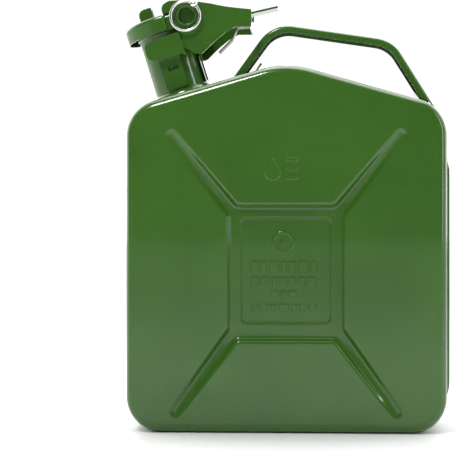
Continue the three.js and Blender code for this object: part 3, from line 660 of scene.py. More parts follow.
def roof_height(x, y):
    """How high the roof is above a point, in millimetres."""
    loop = body_outline(draft_at(abs(y)))
    found = [a.imag + (b.imag - a.imag) * (x - a.real) / (b.real - a.real)
             for a, b in zip(loop, loop[1:] + loop[:1])
             if b.real <= x < a.real and a.imag > SHOULDER - 30]
    return max(found, default=0.0)


def roof_in_neck_frame(v, y):
    """The roof's height u along the neck's axis."""
    u = 0.0
    for _ in range(6):
        spot = NECK @ (Vector((v, y, u)) * MM) / MM
        u += (roof_height(spot.x, y) - spot.z) * math.cos(NECK_LEAN)
    return u


def weld_fillet(sides=72, steps=6):
    fillet = Surface()
    rings = []
    for k in range(sides):
        angle = 2 * math.pi * k / sides
        ripple = RIPPLE * math.cos(RIPPLES * angle)
        c, s = math.cos(angle), math.sin(angle)
        toe = FILLET_TOE + ripple
        foot = roof_in_neck_frame(toe * c, toe * s)
        under = roof_in_neck_frame(NECK_HOLE * c, NECK_HOLE * s)
        ring = [(NECK_HOLE, under - 0.5), (toe - 0.6, foot - 0.3)]
        for step in range(steps + 1):
            a = math.pi / 2 * step / steps
            spread = math.cos(a) * 0.72 + 0.28 * (1 - step / steps)
            radius = NECK_HOLE - 0.25 + (toe - NECK_HOLE) * spread
            height = foot + 0.05 + (FILLET_TOP + ripple - foot) * (math.sin(a) * 0.62 + 0.38 * step / steps)
            ring.append((radius, height))
        rings.append(fillet.ring([(r * c, r * s, u) for r, u in ring]))
    rings.append(rings[0])
    fillet.strips(rings)
    return fillet.piece("neck_weld", NECK, math.radians(60))


fit(neck_tube(), "filler_neck", finish="green_paint")
fit(weld_fillet(), "neck_collar", finish="green_paint")

# %% [markdown]
# A thin vent pipe lets air in while fuel runs out. It starts inside the mouth, bends under the roof and
# ends under the can's highest point. A pipe is two tubes of rings along one line, joined at the ends.

# %% The vent pipe and its clip
PIPE_OUTER, PIPE_BORE, PIPE_OFFSET = 4.0, 3.0, 12.4


def vent_pipe(sides=32):
    top, corner = [NECK @ (Vector((PIPE_OFFSET, 0, u)) * MM) / MM
                   for u in (NECK_HEIGHT - 4, -NECK_INSIDE - 5)]
    end = Vector((-6, 0, PEAK - 13))
    before, after = [corner + (far - corner).normalized() * 9 for far in (top, end)]
    line = [top, top.lerp(before, 0.5)]
    line += [before.lerp(corner, t).lerp(corner.lerp(after, t), t) for t in [k / 12 for k in range(13)]]
    line += [after.lerp(end, 0.5), end]
    pipe = Surface()
    walls = []
    for radius in (PIPE_OUTER, PIPE_BORE):
        rings = []
        for i, spot in enumerate(line):
            along = (line[min(i + 1, len(line) - 1)] - line[max(i - 1, 0)]).normalized()
            across = along.cross(Vector((0, 1, 0)))
            sideways = Vector((0, 1, 0))
            rings.append(pipe.ring([spot + (across * math.cos(a) + sideways * math.sin(a)) * radius
                                    for a in [2 * math.pi * k / sides for k in range(sides)]]))
        walls.append(pipe.strips(rings))
    for end_at in (0, -1):
        pipe.strip(walls[0][end_at], walls[1][end_at])
    return pipe.piece("vent_pipe")


fit(vent_pipe(), "breather_pipe", finish="plain_steel")
fit(refined("vent_clip", "breather_clip", 0.2), "breather_clip", finish="plain_steel")

# %% [markdown]
# On each side of the neck a pressed keeper is welded on. The cam's nose hooks behind its plate. The
# hinge bracket stands on the handle's side, with the knuckle that the cap's pin goes through.

# %% Keepers, hinge bracket and hinge pin
fit(refined("near_striker", "keeper_near", 0.45, 4), "keeper_near", finish="green_paint")
fit(refined("far_striker", "keeper_far", 0.45, 4), "keeper_far", finish="green_paint")
fit(refined("hinge_plate", "hinge_bracket", 0.4), "hinge_bracket", finish="green_paint")
PIN_RADIUS, PIN_HALF = 2.2, 23.2
pin_profile = [(0, -PIN_HALF), (1.2, -PIN_HALF), (1.9, -PIN_HALF + 0.3), (PIN_RADIUS, -PIN_HALF + 0.9),
               (PIN_RADIUS, 0), (PIN_RADIUS, PIN_HALF - 0.9), (1.9, PIN_HALF - 0.3),
               (1.2, PIN_HALF), (0, PIN_HALF)]
ACROSS = Matrix.Rotation(math.radians(90), 4, "X")
fit(spun("cap_pin", pin_profile, at(NECK, HINGE_V, 0, HINGE_U) @ ACROSS, 32), "hinge_pin",
    finish="plain_steel")

# %% [markdown]
# ## The handle
# The handle is a strip pressed into a channel and bent over the can. Its cross-section is carried along
# the bent line: one rail for each of the section's corners, every rail bent about the same centres.
# Each rail is cut off where it meets the foot plates, a little above the roof.

# %% A line with round bends, moved sideways
def bent_line(corners, radius, offset, arc_steps=12):
    """An open line through (x, z) corners with round bends, moved to its left by offset."""
    spots = [complex(x, z) for x, z in corners]
    runs = [(b - a) / abs(b - a) for a, b in zip(spots, spots[1:])]
    line = [spots[0] + 1j * runs[0] * offset]
    for spot, before, after in zip(spots[1:], runs, runs[1:]):
        bend = before.conjugate() * after
        angle = math.atan2(bend.imag, bend.real)
        first = spot - before * radius * math.tan(abs(angle) / 2)
        centre = first + 1j * before * math.copysign(radius, angle)
        first += 1j * before * offset
        for s in range(arc_steps + 1):
            turn = angle * s / arc_steps
            line.append(centre + (first - centre) * complex(math.cos(turn), math.sin(turn)))
    line.append(spots[-1] + 1j * runs[-1] * offset)
    return line


def carried(name, section, corners, radius, placed, trim=None, arc_steps=12, crisp=CRISP):
    """A closed section of (offset, y) carried along a bent line in X and Z."""
    made = Surface()
    rails = []
    for offset, y in section:
        line = bent_line(corners, radius, offset, arc_steps)
        if trim:
            line = trim(line)
        rails.append([(p.real, y, p.imag) for p in line])
    rings = made.strips([made.ring(ring) for ring in zip(*rails)])
    for ring in (rings[0], rings[-1]):
        made.fill(ring)
    return made.piece(name, placed, crisp)


# %% [markdown]
# The section is a shallow U with rolled outer corners and rounded hems.

# %% Build the handle and its feet
HANDLE_LINE = [(-49, 250.8), (-10.8, 303), (79, 289.5), (119.6, 225)]
HANDLE_BEND, HANDLE_HALF, HANDLE_THICK, HANDLE_SHEET = 26.0, 11.0, 5.6, 1.3
HANDLE_STANDS, HANDLE_LOWEST = 2.2, 233.0


def handle_section():
    """(offset, y) round the U; the outer side is at offset 0 and the hems point at the can."""
    inner = HANDLE_HALF - HANDLE_SHEET
    corners = [(-HANDLE_HALF, -HANDLE_THICK, 0.55), (-inner, -HANDLE_THICK, 0.55),
               (-inner, -HANDLE_SHEET, 1.3), (inner, -HANDLE_SHEET, 1.3),
               (inner, -HANDLE_THICK, 0.55), (HANDLE_HALF, -HANDLE_THICK, 0.55),
               (HANDLE_HALF, 0, 2.4), (-HANDLE_HALF, 0, 2.4)]
    return [(p.imag, p.real) for p in rounded_loop(corners, 0.0, 5)]


def crossing(a, b, boundary):
    """The share of the way from a to b at which the line meets a closed boundary, or None."""
    shares = []
    for c, d in zip(boundary, boundary[1:] + boundary[:1]):
        across = ((b - a).conjugate() * (d - c)).imag
        if abs(across) > 1e-9:
            t = ((c - a).conjugate() * (d - c)).imag / across
            s = ((c - a).conjugate() * (b - a)).imag / across
            if 0 <= t <= 1 and 0 <= s <= 1:
                shares.append(t)
    return max(shares, default=None)


ROOF_CLEAR = body_outline(DRAFT + HANDLE_STANDS)


def cut_to_roof(line):
    """Ends a rail of the handle where it meets the foot plates."""
    for at_end in (False, True):
        tip, root = (line[-1], line[-2]) if at_end else (line[0], line[1])
        share = crossing(tip, root, ROOF_CLEAR) or 0.0
        spot = tip + (root - tip) * share
        if at_end and spot.imag < HANDLE_LOWEST:
            spot = tip + (root - tip) * ((HANDLE_LOWEST - tip.imag) / (root.imag - tip.imag))
        line[-1 if at_end else 0] = spot
    return line


fit(carried("carry_handle", handle_section(), HANDLE_LINE, HANDLE_BEND, Matrix.Identity(4),
            cut_to_roof), "handle", finish="green_paint")
fit(refined("left_foot", "handle_foot_left", 0.4), "handle_foot_left", finish="green_paint")
fit(refined("right_foot", "handle_foot_right", 0.4), "handle_foot_right", finish="green_paint")

# %% [markdown]
# ## The cap
# The cap is pressed from one blank: a round cup whose handle side has two flats, so that the lever's
# cheeks fit beside it. Its rim is straight except at the hinge, where it runs down into two ears. One
# outline is carried over the top radius and down the side, and the rim's height depends on where along
# the outline a point lies.

# %% The cap's outline and rim
LID_RADIUS, LID_FLAT, LID_END, LID_STEP = NECK_RADIUS + 8.5, NECK_RADIUS + 3.2, NECK_RADIUS + 11.5, 4.5
LID_BOTTOM, LID_TOP, LID_EDGE, LID_SHEET = NECK_HEIGHT - 2.5, NECK_HEIGHT + 9.5, 3.0, 1.2
EAR_RADIUS, EAR_SLOT = 5.0, HINGE_U + 6.5


def lid_outline(offset):
    reach = LID_RADIUS * math.tan(math.pi / 8)
    half = [(LID_END, LID_FLAT, 1.6), (LID_STEP, LID_FLAT, 1.2), (LID_STEP, LID_RADIUS, 1.4),
            (-reach, LID_RADIUS, LID_RADIUS), (-LID_RADIUS, reach, LID_RADIUS)]
    corners = half + [(x, -z, r) for x, z, r in reversed(half)]
    return rounded_loop(corners, offset, 12, [36, 1, 1, 1, 1, 1, 1, 1, 36, 36])


def lid_rim(spot):
    """How low the side wall reaches at a point of the outline."""
    v, side = spot.real, abs(spot.imag)
    if v > LID_END - 0.2 and side < LID_FLAT - 1.6:
        return EAR_SLOT
    if side > LID_FLAT + 0.3 or v < HINGE_V - EAR_RADIUS:
        return LID_BOTTOM
    return HINGE_U - math.sqrt(max(EAR_RADIUS ** 2 - min(v - HINGE_V, LID_END - HINGE_V - 1) ** 2, 0))


def cap():
    lid = Surface()
    wall = lid_outline(0.0)
    lowest = [lid_rim(p) for p in wall]
    levels = [0.0, 0.08, 0.5, 0.92, 1.0]
    shoulder = LID_TOP - LID_EDGE
    rings = [lid.ring([(p.real, p.imag, low + (shoulder - low) * level)
                       for p, low in zip(wall, lowest)]) for level in levels]
    for step in range(1, 9):
        angle = math.pi / 2 * step / 8
        drawn = lid_outline(-LID_EDGE * (1 - math.cos(angle)) * 0.98)
        rings.append(lid.ring([(p.real, p.imag, shoulder + LID_EDGE * math.sin(angle))
                               for p in drawn]))
    lid.strips(rings)
    lid.fill(rings[-1])
    return thicken(lid.piece("pressed_cap", NECK), LID_SHEET)


CUP_HOLE, CUP_REACH = 7.4, 5.9
CHEEK_INNER, CHEEK_OUTER = 24.0, 25.5
DRILL = 60.0


def cup_drills():
    deep = CHEEK_OUTER - CUP_REACH
    place = at(NECK, PIVOT_V, 0, PIVOT_U)
    return [bar(CUP_HOLE, low, high, place) for low, high in ((-DRILL, -deep), (deep, DRILL))]


pressed_cap = combine(cap(), cup_drills() + [
    bar(PIN_RADIUS + 0.3, -30, 30, at(NECK, HINGE_V, 0, HINGE_U), sides=32)], "DIFFERENCE")
pressed_cap.modifiers.new("even", "WEIGHTED_NORMAL").keep_sharp = True
fit(pressed_cap, "lid", finish="green_paint")
fit(refined("cap_strap", "lid_strap", 0.4, 4), "lid_strap", finish="green_paint")

# %% [markdown]
# A rivet holds strap, cap and seal plate together, and the lever turns on two hollow rivets. All of
# them are spun. The seal is moulded rubber with a rounded lip that is squeezed onto the neck's mouth.

# %% Rivet, seal, seal plate and pivot cups
GAP = 0.3
STRAP_TOP, GASKET_TOP = LID_TOP + GAP + 1.5, NECK_HEIGHT + 4.4
RIVET_HEAD, RIVET = 5.0, 2.5
SEAL_IN, SEAL_OUT, SEAL_PLATE = 14.0, 20.5, 1.2
dome = [(RIVET_HEAD * math.cos(a), STRAP_TOP + 0.6 + 1.6 * math.sin(a))
        for a in [math.radians(8 + 82 * k / 7) for k in range(7)]]
rivet_profile = [(0, GASKET_TOP - 1.2), (RIVET_HEAD - 0.5, GASKET_TOP - 1.2),
                 (RIVET_HEAD, GASKET_TOP - 0.7), (RIVET_HEAD, GASKET_TOP), (RIVET, GASKET_TOP),
                 (RIVET, STRAP_TOP + GAP), (RIVET_HEAD - 0.3, STRAP_TOP + GAP),
                 *dome, (0, STRAP_TOP + 2.2)]
fit(spun("cap_rivet", rivet_profile, NECK, 48), "lid_rivet", finish="green_paint")

plate_low = GASKET_TOP + GAP
plate_high = plate_low + SEAL_PLATE
plate_in, plate_out = RIVET + GAP, SEAL_OUT - 0.5
fit(spun("seal_plate", rounded_profile([(plate_in, plate_low, 0.2), (plate_out, plate_low, 0.5),
                                        (plate_out, plate_high, 0.5), (plate_in, plate_high, 0.2)]),
         NECK, 64), "gasket_plate", finish="plain_steel")
seal_low = NECK_HEIGHT + GAP
fit(spun("rubber_seal", rounded_profile([(SEAL_IN, seal_low, 1.2), (SEAL_OUT, seal_low, 1.5),
                                         (SEAL_OUT, GASKET_TOP, 0.8), (SEAL_IN, GASKET_TOP, 0.8)]),
         NECK, 96), "gasket", finish="gasket_rubber")

CUP_RADIUS, CUP_BORE = 7.1, 6.0
cup_out = CHEEK_OUTER + GAP
deep = cup_out - CUP_REACH
lip = [(6.9 + 0.9 * math.cos(a), cup_out + 0.8 * math.sin(a))
       for a in [math.pi * k / 10 for k in range(11)]]
cup_profile = [(0, deep), (CUP_RADIUS - 0.8, deep), (CUP_RADIUS, deep + 0.8), (CUP_RADIUS, cup_out),
               *lip, (CUP_BORE, cup_out - 0.4), (CUP_BORE, deep + 1.7), (CUP_BORE - 0.6, deep + 1.1),
               (0, deep + 1.1)]
pivot = at(NECK, PIVOT_V, 0, PIVOT_U)
for side, name, node in ((1, "near_cup", "pivot_cup_near"), (-1, "far_cup", "pivot_cup_far")):
    turn = Matrix.Rotation(math.radians(90 * side), 4, "X")
    fit(spun(name, cup_profile, pivot @ turn, 64), node, finish="green_paint")

# %% [markdown]
# ## The lever
# The lever is one blank bent into a U: two cheeks, an end wall and a thumb tab. Each cheek has a round
# head at the pivot, a waisted top edge and a cam lobe whose nose hooks behind the keeper. The outline
# is drawn once from arcs and smooth curves, and both cheeks are cut from it.

# %% The cheek's outline
HEAD, REACH, LOBE_DROP = 11.5, 48.5, 28.0
END_TOP, END_LOW = 4.5, -8.5
STRIKE_UNDERSIDE, NOSE_GAP = NECK_HEIGHT - 11, 1.0
NOSE_TOP = STRIKE_UNDERSIDE - NOSE_GAP - PIVOT_U
STRIKE_EDGE, NOSE_REACH = -8.6, 3.0


def leaned(v, u):
    """A step given in the neck's frame, in the lever's upright frame."""
    return complex(v, u) * complex(math.cos(NECK_LEAN), math.sin(NECK_LEAN))


def smooth_curve(spots, steps=10):
    """Points on a smooth curve through all the spots."""
    ends = [2 * spots[0] - spots[1]] + spots + [2 * spots[-1] - spots[-2]]
    line = []
    for p0, p1, p2, p3 in zip(ends, ends[1:], ends[2:], ends[3:]):
        for t in [k / steps for k in range(steps)]:
            line.append(0.5 * (2 * p1 + (p2 - p0) * t + (2 * p0 - 5 * p1 + 4 * p2 - p3) * t * t
                               + (3 * p1 - p0 - 3 * p2 + p3) * t ** 3))
    return line + [spots[-1]]


def soft_bend(a, corner, b, steps=6):
    return [(1 - t) ** 2 * a + 2 * t * (1 - t) * corner + t * t * b
            for t in [k / steps for k in range(1, steps + 1)]]


def cheek_outline():
    waist = STRIKE_EDGE + 0.6
    neck_in = leaned(waist, -math.sqrt(HEAD ** 2 - waist ** 2))
    start = math.atan2(neck_in.imag, neck_in.real) + 2 * math.pi
    stop = math.radians(76)
    head = [HEAD * complex(math.cos(a), math.sin(a))
            for a in [start + (stop - start) * k / 40 for k in range(41)]]
    top = smooth_curve([head[-1], 17 + 9.2j, 30.3 + 6.6j, REACH + END_TOP * 1j])[1:]
    low = [REACH + END_LOW * 1j, 36.3 + END_LOW * 1j]
    diagonal = smooth_curve([low[-1], 30 - 12j, 21.5 - 18.9j, 14.2 - (LOBE_DROP - 2) * 1j])[1:]
    bottom = -(LOBE_DROP + 0.4) * 1j
    lobe = soft_bend(diagonal[-1], 12.5 + bottom, 9 + bottom)
    lobe += soft_bend(lobe[-1], 5 + bottom, 3.5 - (LOBE_DROP - 2.5) * 1j)
    nose = [leaned(STRIKE_EDGE - NOSE_REACH, NOSE_TOP - 4.5),
            leaned(STRIKE_EDGE - NOSE_REACH, NOSE_TOP - 0.5),
            leaned(STRIKE_EDGE - NOSE_REACH + 0.5, NOSE_TOP), leaned(waist, NOSE_TOP)]
    loop = head + top + low + diagonal + lobe + nose
    return list(reversed(loop))


# %% [markdown]
# A plate is its outline at two depths. Edges get a small round from a bevel once cheeks, end wall and
# tab have been joined into one solid.

# %% Build the lever
THUMB_LENGTH, THUMB_RISE, THUMB_HALF, STRAP = 20.0, math.radians(12.5), 9.0, 1.5


def plate(name, loop, low, high, placed):
    slab_surface = Surface()
    rings = [slab_surface.ring([(p.real, y, p.imag) for p in loop]) for y in (low, high)]
    slab_surface.strips(rings)
    for ring in rings:
        slab_surface.fill(ring)
    return slab_surface.piece(name, placed)


def box_loop(x0, x1, z0, z1):
    return [complex(x0, z0), complex(x1, z0), complex(x1, z1), complex(x0, z1)]


def thumb_loop():
    """The tab's side view: a straight strip that rises from the end wall, its tip's corners broken."""
    root = complex(REACH - STRAP, END_TOP - STRAP)
    along = complex(math.cos(THUMB_RISE), math.sin(THUMB_RISE))
    tip = root + along * (THUMB_LENGTH + STRAP)
    return [root, tip - along * 0.4, tip + along * 0.05 + along * 0.35j,
            tip + along * (STRAP - 0.35) * 1j, tip - along * 0.4 + along * STRAP * 1j,
            root + along * STRAP * 1j]


cheek = cheek_outline()
cam_lever = plate("cam_lever", cheek, -CHEEK_OUTER, -CHEEK_INNER, LEVER)
combine(cam_lever, [
    plate("far_cheek", cheek, CHEEK_INNER, CHEEK_OUTER, LEVER),
    plate("end_wall", box_loop(REACH - STRAP, REACH, END_LOW, END_TOP),
          -CHEEK_OUTER, CHEEK_OUTER, LEVER),
    plate("thumb_tab", thumb_loop(), -THUMB_HALF, THUMB_HALF, LEVER)], "UNION")
LOCK_X, LOCK_Z, LOCK_RADIUS = 5.9, 8.2, 1.2
STUD_HOLE = 1.8
combine(cam_lever, [
    bar(CUP_HOLE, -DRILL, DRILL, LEVER),
    bar(LOCK_RADIUS + GAP, -DRILL, 0, at(LEVER, LOCK_X, 0, LOCK_Z), sides=24),
    bar(STUD_HOLE, REACH - 4, REACH + 4, LEVER, "X", 24)], "DIFFERENCE")
fit(break_edges(cam_lever, 0.35), "lever", finish="green_paint")
print("lever outline:", len(cheek), "points")

# %% [markdown]
# Under the lever a leaf spring holds it open. It is a flat strip with three bends, riveted to the end
# wall, and the same helper that carried the handle's section carries this one.

# %% The hold-open spring and its rivet
SPRING_SHEET, SPRING_HALF = 0.8, 7.0
spring_face = REACH - STRAP - GAP
SPRING_LINE = [(spring_face, 3.5), (spring_face, -6), (37.5, -6.5), (33.5, -15.4), (23.5, -25.5)]
spring_corners = [(-SPRING_HALF, -SPRING_SHEET, 0.2), (SPRING_HALF, -SPRING_SHEET, 0.2),
                  (SPRING_HALF, 0, 0.2), (-SPRING_HALF, 0, 0.2)]
spring_section = [(p.imag, p.real) for p in rounded_loop(spring_corners, 0.0, 3)]
leaf = carried("leaf_spring", spring_section, SPRING_LINE, 1.6, LEVER, None, 8)
combine(leaf, [bar(STUD_HOLE, REACH - 6, REACH + 4, LEVER, "X", 24)], "DIFFERENCE")
fit(leaf, "hold_open_spring", finish="spring_steel")

inner = REACH - STRAP - 2 * GAP - SPRING_SHEET
stem_profile = [(0, inner - 1), (2.3, inner - 0.9), (2.9, inner - 0.3), (2.9, inner), (1.5, inner),
                (1.5, REACH + GAP), (2.9, REACH + GAP), (2.8, REACH + 0.65), (2.1, REACH + 1.15),
                (1.1, REACH + 1.35), (0, REACH + 1.4)]
fit(spun("spring_stud", stem_profile, LEVER @ Matrix.Rotation(math.radians(90), 4, "Y"), 40),
    "spring_rivet", finish="green_paint")

# %% [markdown]
# ## The locking pin and its ring
# A small pin goes through the near cheek. Its head is a ball with an eye, and a wire ring hangs in the
# eye. The ring is a closed wire, so it is a circle carried round a circle.

# %% Locking pin and pull ring
RING_Y = -(CHEEK_OUTER + 3.4)
RING_TILT = math.atan2(LOCK_Z, LOCK_X)
RING_RADIUS, WIRE, PIN_BALL, EYE = 10.9, 1.15, 3.0, 1.85
lock = at(LEVER, LOCK_X, RING_Y, LOCK_Z)
shank = -(LID_FLAT + GAP) - RING_Y
ball = [(PIN_BALL * math.cos(a), PIN_BALL * math.sin(a))
        for a in [math.radians(-90 + 156 * k / 20) for k in range(21)]]
pin_shape = [(0.0, -PIN_BALL)] + ball[1:] + [(LOCK_RADIUS, ball[-1][1] + 0.3), (LOCK_RADIUS, shank - 0.4),
                                            (LOCK_RADIUS - 0.4, shank), (0, shank)]
lock_pin = spun("lock_pin", pin_shape, lock @ Matrix.Rotation(math.radians(-90), 4, "X"), 48)
eye_axis = lock @ Matrix.Rotation(-RING_TILT, 4, "Y")
combine(lock_pin, [bar(EYE, -8, 8, eye_axis, "Z", 40)], "DIFFERENCE")
fit(lock_pin, "locking_pin", finish="bright_wire")

away = complex(math.cos(RING_TILT), math.sin(RING_TILT)) * -RING_RADIUS
ring = Surface()
hoops = [ring.ring([((RING_RADIUS + WIRE * math.cos(b)) * math.cos(a), WIRE * math.sin(b),
                     (RING_RADIUS + WIRE * math.cos(b)) * math.sin(a))
                    for b in [2 * math.pi * k / 20 for k in range(20)]])
         for a in [2 * math.pi * k / 96 for k in range(96)]]
ring.strips(hoops + [hoops[0]])
fit(ring.piece("wire_ring", at(lock, away.real, 0, away.imag)), "pull_ring", finish="bright_wire")

# %% [markdown]
# ## Finishes
# A finish is a small graph of nodes. Writing it as sums keeps it readable: a wire is what comes out of
# a node, and adding or multiplying wires adds the Math nodes. Numbers alone are worked out in Python.

# %% Nodes as expressions
class Wire:
    """One output of a node, which can be used in sums."""

    def __init__(self, finish, socket):
        self.finish, self.socket = finish, socket

    def _sum(self, operation, first, second):
        return self.finish.node("Math", {"operation": operation}, {0: first, 1: second})

    def __add__(self, other):
        return self._sum("ADD", self, other)

    def __sub__(self, other):
        return self._sum("SUBTRACT", self, other)

    def __rsub__(self, other):
        return self._sum("SUBTRACT", other, self)

    def __mul__(self, other):
        return self._sum("MULTIPLY", self, other)

    __radd__, __rmul__ = __add__, __mul__


class Finish:
    """A material whose nodes are added by one method."""

    def __init__(self, name):
        self.material = bpy.data.materials.new(name)
        self.material.use_nodes = True
        self.tree = self.material.node_tree
        self.tree.nodes.clear()

    def node(self, kind, settings=(), inputs=(), output=0):
        made = self.tree.nodes.new("ShaderNode" + kind)
        for setting, value in dict(settings).items():
            setattr(made, setting, value)
        for socket, value in dict(inputs).items():
            if isinstance(value, Wire):
                self.tree.links.new(value.socket, made.inputs[socket])
            else:
                made.inputs[socket].default_value = value
        return Wire(self, made.outputs[output]) if made.outputs else None

    def place(self, stretch=None):
        """Where a point is on the object, in metres, stretched along each axis if wanted."""
        spot = self.node("TexCoord", output="Object")
        if stretch is None:
            return spot
        return self.node("VectorMath", {"operation": "MULTIPLY"}, {0: spot, 1: stretch})

    def noise(self, scale, detail=2.0, spot=None):
        return self.node("TexNoise", {}, {"Vector": spot or self.place(), "Scale": scale,
                                          "Detail": detail})

    def between(self, low, high, wire):
        """0 where the wire is below low, 1 where it is above high, smooth in between."""
        return self.node("MapRange", {"interpolation_type": "SMOOTHSTEP"},
                         {0: wire, 1: low, 2: high})

    def blend(self, share, a, b):
        return self.node("Mix", {"data_type": "RGBA"}, {0: share, 6: a, 7: b}, 2)

    def close(self, shader):
        self.node("OutputMaterial", {}, {"Surface": shader})
        return self.material


print("finishes are graphs written as sums")

# %% [markdown]
# The enamel is sprayed and baked. Close up it has a fine orange peel and a slow wave from the sheet
# under it. Its tone drifts a little between a lighter and a deeper green, and a few dust specks lie in
# it. Handling leaves faint rubbed patches, which are lighter and less glossy.

# %% Gloss enamel
ENAMEL = (0.036, 0.118, 0.010, 1)
ENAMEL_DEEP = (0.031, 0.105, 0.009, 1)
ENAMEL_THIN = (0.052, 0.145, 0.020, 1)
DUST = (0.20, 0.27, 0.14, 1)


def enamel(name, wave=0.00020, peel=0.000005, rub=0.07):
    f = Finish(name)
    drift = f.noise(16.0, 2.0)
    cloud = f.noise(60.0, 4.0)
    grain = f.noise(850.0, 2.0)
    specks = f.node("TexVoronoi", {}, {"Vector": f.place(), "Scale": 210.0})
    keep = f.noise(95.0, 1.0)
    dust = (1 - f.between(0.04, 0.09, specks)) * f.between(0.66, 0.76, keep)
    rubbed = f.between(0.50, 0.80, cloud)
    base = f.blend(f.between(0.35, 0.65, drift), ENAMEL_DEEP, ENAMEL)
    base = f.blend(rubbed * 0.10, base, ENAMEL_THIN)
    base = f.blend(dust * 0.35, base, DUST)
    scratch = f.noise(60.0, 3.0, f.place((1.0, 1.0, 14.0)))
    rough = 0.20 + rubbed * rub + f.between(0.60, 0.75, scratch) * 0.04 + dust * 0.2
    height = drift * wave + cloud * (wave * 0.06) + grain * peel + dust * 0.00003
    bump = f.node("Bump", {}, {"Strength": 1.0, "Distance": 1.0, "Height": height})
    shader = f.node("BsdfPrincipled", {}, {
        "Base Color": base, "Roughness": rough, "Coat Weight": 1 - rubbed * 0.3,
        "Coat Roughness": 0.05, "Coat IOR": 1.42, "Specular IOR Level": 0.25, "Normal": bump})
    return f.close(shader)


# %% [markdown]
# The metal parts that aren't painted differ in colour and grain. Zinc plate is pale with soft clouds,
# nickel-plated wire is bright, and spring steel is dark from its oil quench, with a grain stretched one
# way. One function takes those differences. Rubber is matt, with a fine grain and a dusty bloom.

# %% Bare metals and rubber
def metal(name, pale, dark, rough, grain_scale, stretch=None):
    f = Finish(name)
    cloud = f.noise(90.0, 4.0)
    grain = f.noise(grain_scale, 3.0, f.place(stretch))
    tarnish = f.between(0.45, 0.75, cloud)
    base = f.blend(tarnish, pale, dark)
    roughness = rough + tarnish * 0.12 + grain * 0.08
    bump = f.node("Bump", {}, {"Strength": 1.0, "Distance": 1.0, "Height": grain * 0.000006})
    return f.close(f.node("BsdfPrincipled", {}, {
        "Base Color": base, "Metallic": 1.0, "Roughness": roughness, "Normal": bump}))


def rubber(name):
    f = Finish(name)
    grain = f.noise(1400.0, 2.0)
    bloom = f.between(0.5, 0.8, f.noise(70.0, 4.0))
    base = f.blend(bloom * 0.5, (0.012, 0.012, 0.012, 1), (0.05, 0.05, 0.047, 1))
    bump = f.node("Bump", {}, {"Strength": 1.0, "Distance": 1.0, "Height": grain * 0.00003})
    return f.close(f.node("BsdfPrincipled", {}, {
        "Base Color": base, "Roughness": 0.6 + bloom * 0.25, "Normal": bump}))


FINISHES = {
    "green_paint": enamel("gloss_enamel"),
    "plain_steel": metal("zinc_plate", (0.62, 0.63, 0.60, 1), (0.42, 0.43, 0.41, 1), 0.28, 500.0),
    "spring_steel": metal("oiled_spring", (0.10, 0.11, 0.09, 1), (0.05, 0.055, 0.045, 1), 0.30,
                          300.0, (1.0, 8.0, 1.0)),
    "bright_wire": metal("nickel_wire", (0.86, 0.86, 0.84, 1), (0.70, 0.70, 0.68, 1), 0.14, 700.0),
    "gasket_rubber": rubber("moulded_rubber"),
}
for piece, finish in built:
    piece.data.materials.clear()
    piece.data.materials.append(FINISHES[finish])
print(len(built), "pieces in", len(FINISHES), "finishes")

# %% [markdown]
# ## Floor, light and camera
# The can stands on a plain pale floor. The studio is bright behind and beside it and dim in front, so
# curved edges pick up pale rims while the broad face keeps its colour. A soft box high on the left
# draws the streak along the shoulder, one overhead lights the roof and the cap, and a tall, weak one
# stands on the right.

# %% Floor and world
FLOOR_HALF = 30.0
floor_mesh = bpy.data.meshes.new("studio_floor")
floor_mesh.from_pydata([(-FLOOR_HALF, -FLOOR_HALF, 0), (FLOOR_HALF, -FLOOR_HALF, 0),
                        (FLOOR_HALF, FLOOR_HALF, 0), (-FLOOR_HALF, FLOOR_HALF, 0)], [], [(0, 1, 2, 3)])
floor = bpy.data.objects.new("studio_floor", floor_mesh)
bpy.context.scene.collection.objects.link(floor)
floor_finish = Finish("floor_paint")
floor_mesh.materials.append(floor_finish.close(floor_finish.node("BsdfPrincipled", {}, {
    "Base Color": (0.84, 0.84, 0.84, 1), "Roughness": 0.45, "Specular IOR Level": 0.3})))

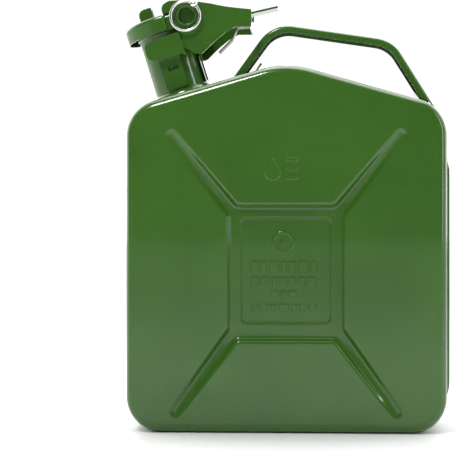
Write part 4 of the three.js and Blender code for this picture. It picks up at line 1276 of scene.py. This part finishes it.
FRONT_GLOW, BACK_GLOW, SEEN_GLOW = 0.16, 2.1, 1.05


def studio_world():
    world = bpy.data.worlds.new("studio")
    bpy.context.scene.world = world
    world.use_nodes = True
    f = Finish.__new__(Finish)
    f.tree = world.node_tree
    f.tree.nodes.clear()
    across = f.node("SeparateXYZ", {}, {0: f.node("TexCoord", output="Generated")}, "Y")
    behind = f.between(-0.12, 0.30, across)
    seen = f.node("LightPath", output="Is Camera Ray")
    glow = FRONT_GLOW + behind * (BACK_GLOW - FRONT_GLOW)
    strength = glow * (1 - seen) + seen * SEEN_GLOW
    sky = f.node("Background", {}, {"Color": (1, 1, 1, 1), "Strength": strength})
    f.node("OutputWorld", {}, {"Surface": sky})


studio_world()
bpy.context.scene.view_settings.view_transform = "Standard"
print("world:", FRONT_GLOW, "in front,", BACK_GLOW, "behind")


# %% Soft boxes and camera
def soft_box(name, spot, target, size, watts):
    light = bpy.data.lights.new(name, "AREA")
    light.shape, light.size, light.size_y, light.energy = "RECTANGLE", *size, watts
    lamp = bpy.data.objects.new(name, light)
    lamp.location = spot
    lamp.rotation_euler = (Vector(target) - Vector(spot)).to_track_quat("-Z", "Y").to_euler()
    bpy.context.scene.collection.objects.link(lamp)


middle = (cad_low + cad_high) / 2
soft_box("key_box", (-0.55, -1.1, 1.6), middle, (0.32, 0.5), 20)
soft_box("roof_box", (0.1, 0.2, 1.7), middle, (1.4, 1.0), 14)
soft_box("right_box", (1.5, -0.7, 0.7), middle, (0.25, 1.2), 6)

EYE_POINT = Vector((0.0262, -1.2563, 0.1438))
EYE_TURN = math.radians(3.0)
LENS, SENSOR = 127.2, 36.0
lens = bpy.data.cameras.new("camera")
lens.lens, lens.sensor_width = LENS, SENSOR
camera = bpy.data.objects.new("camera", lens)
camera.location = EYE_POINT
camera.rotation_euler = (math.radians(90), 0, EYE_TURN)
bpy.context.scene.collection.objects.link(camera)
bpy.context.scene.camera = camera
print("camera", round(camera.location.length, 3), "m away, turned",
      round(math.degrees(EYE_TURN), 1), "degrees")
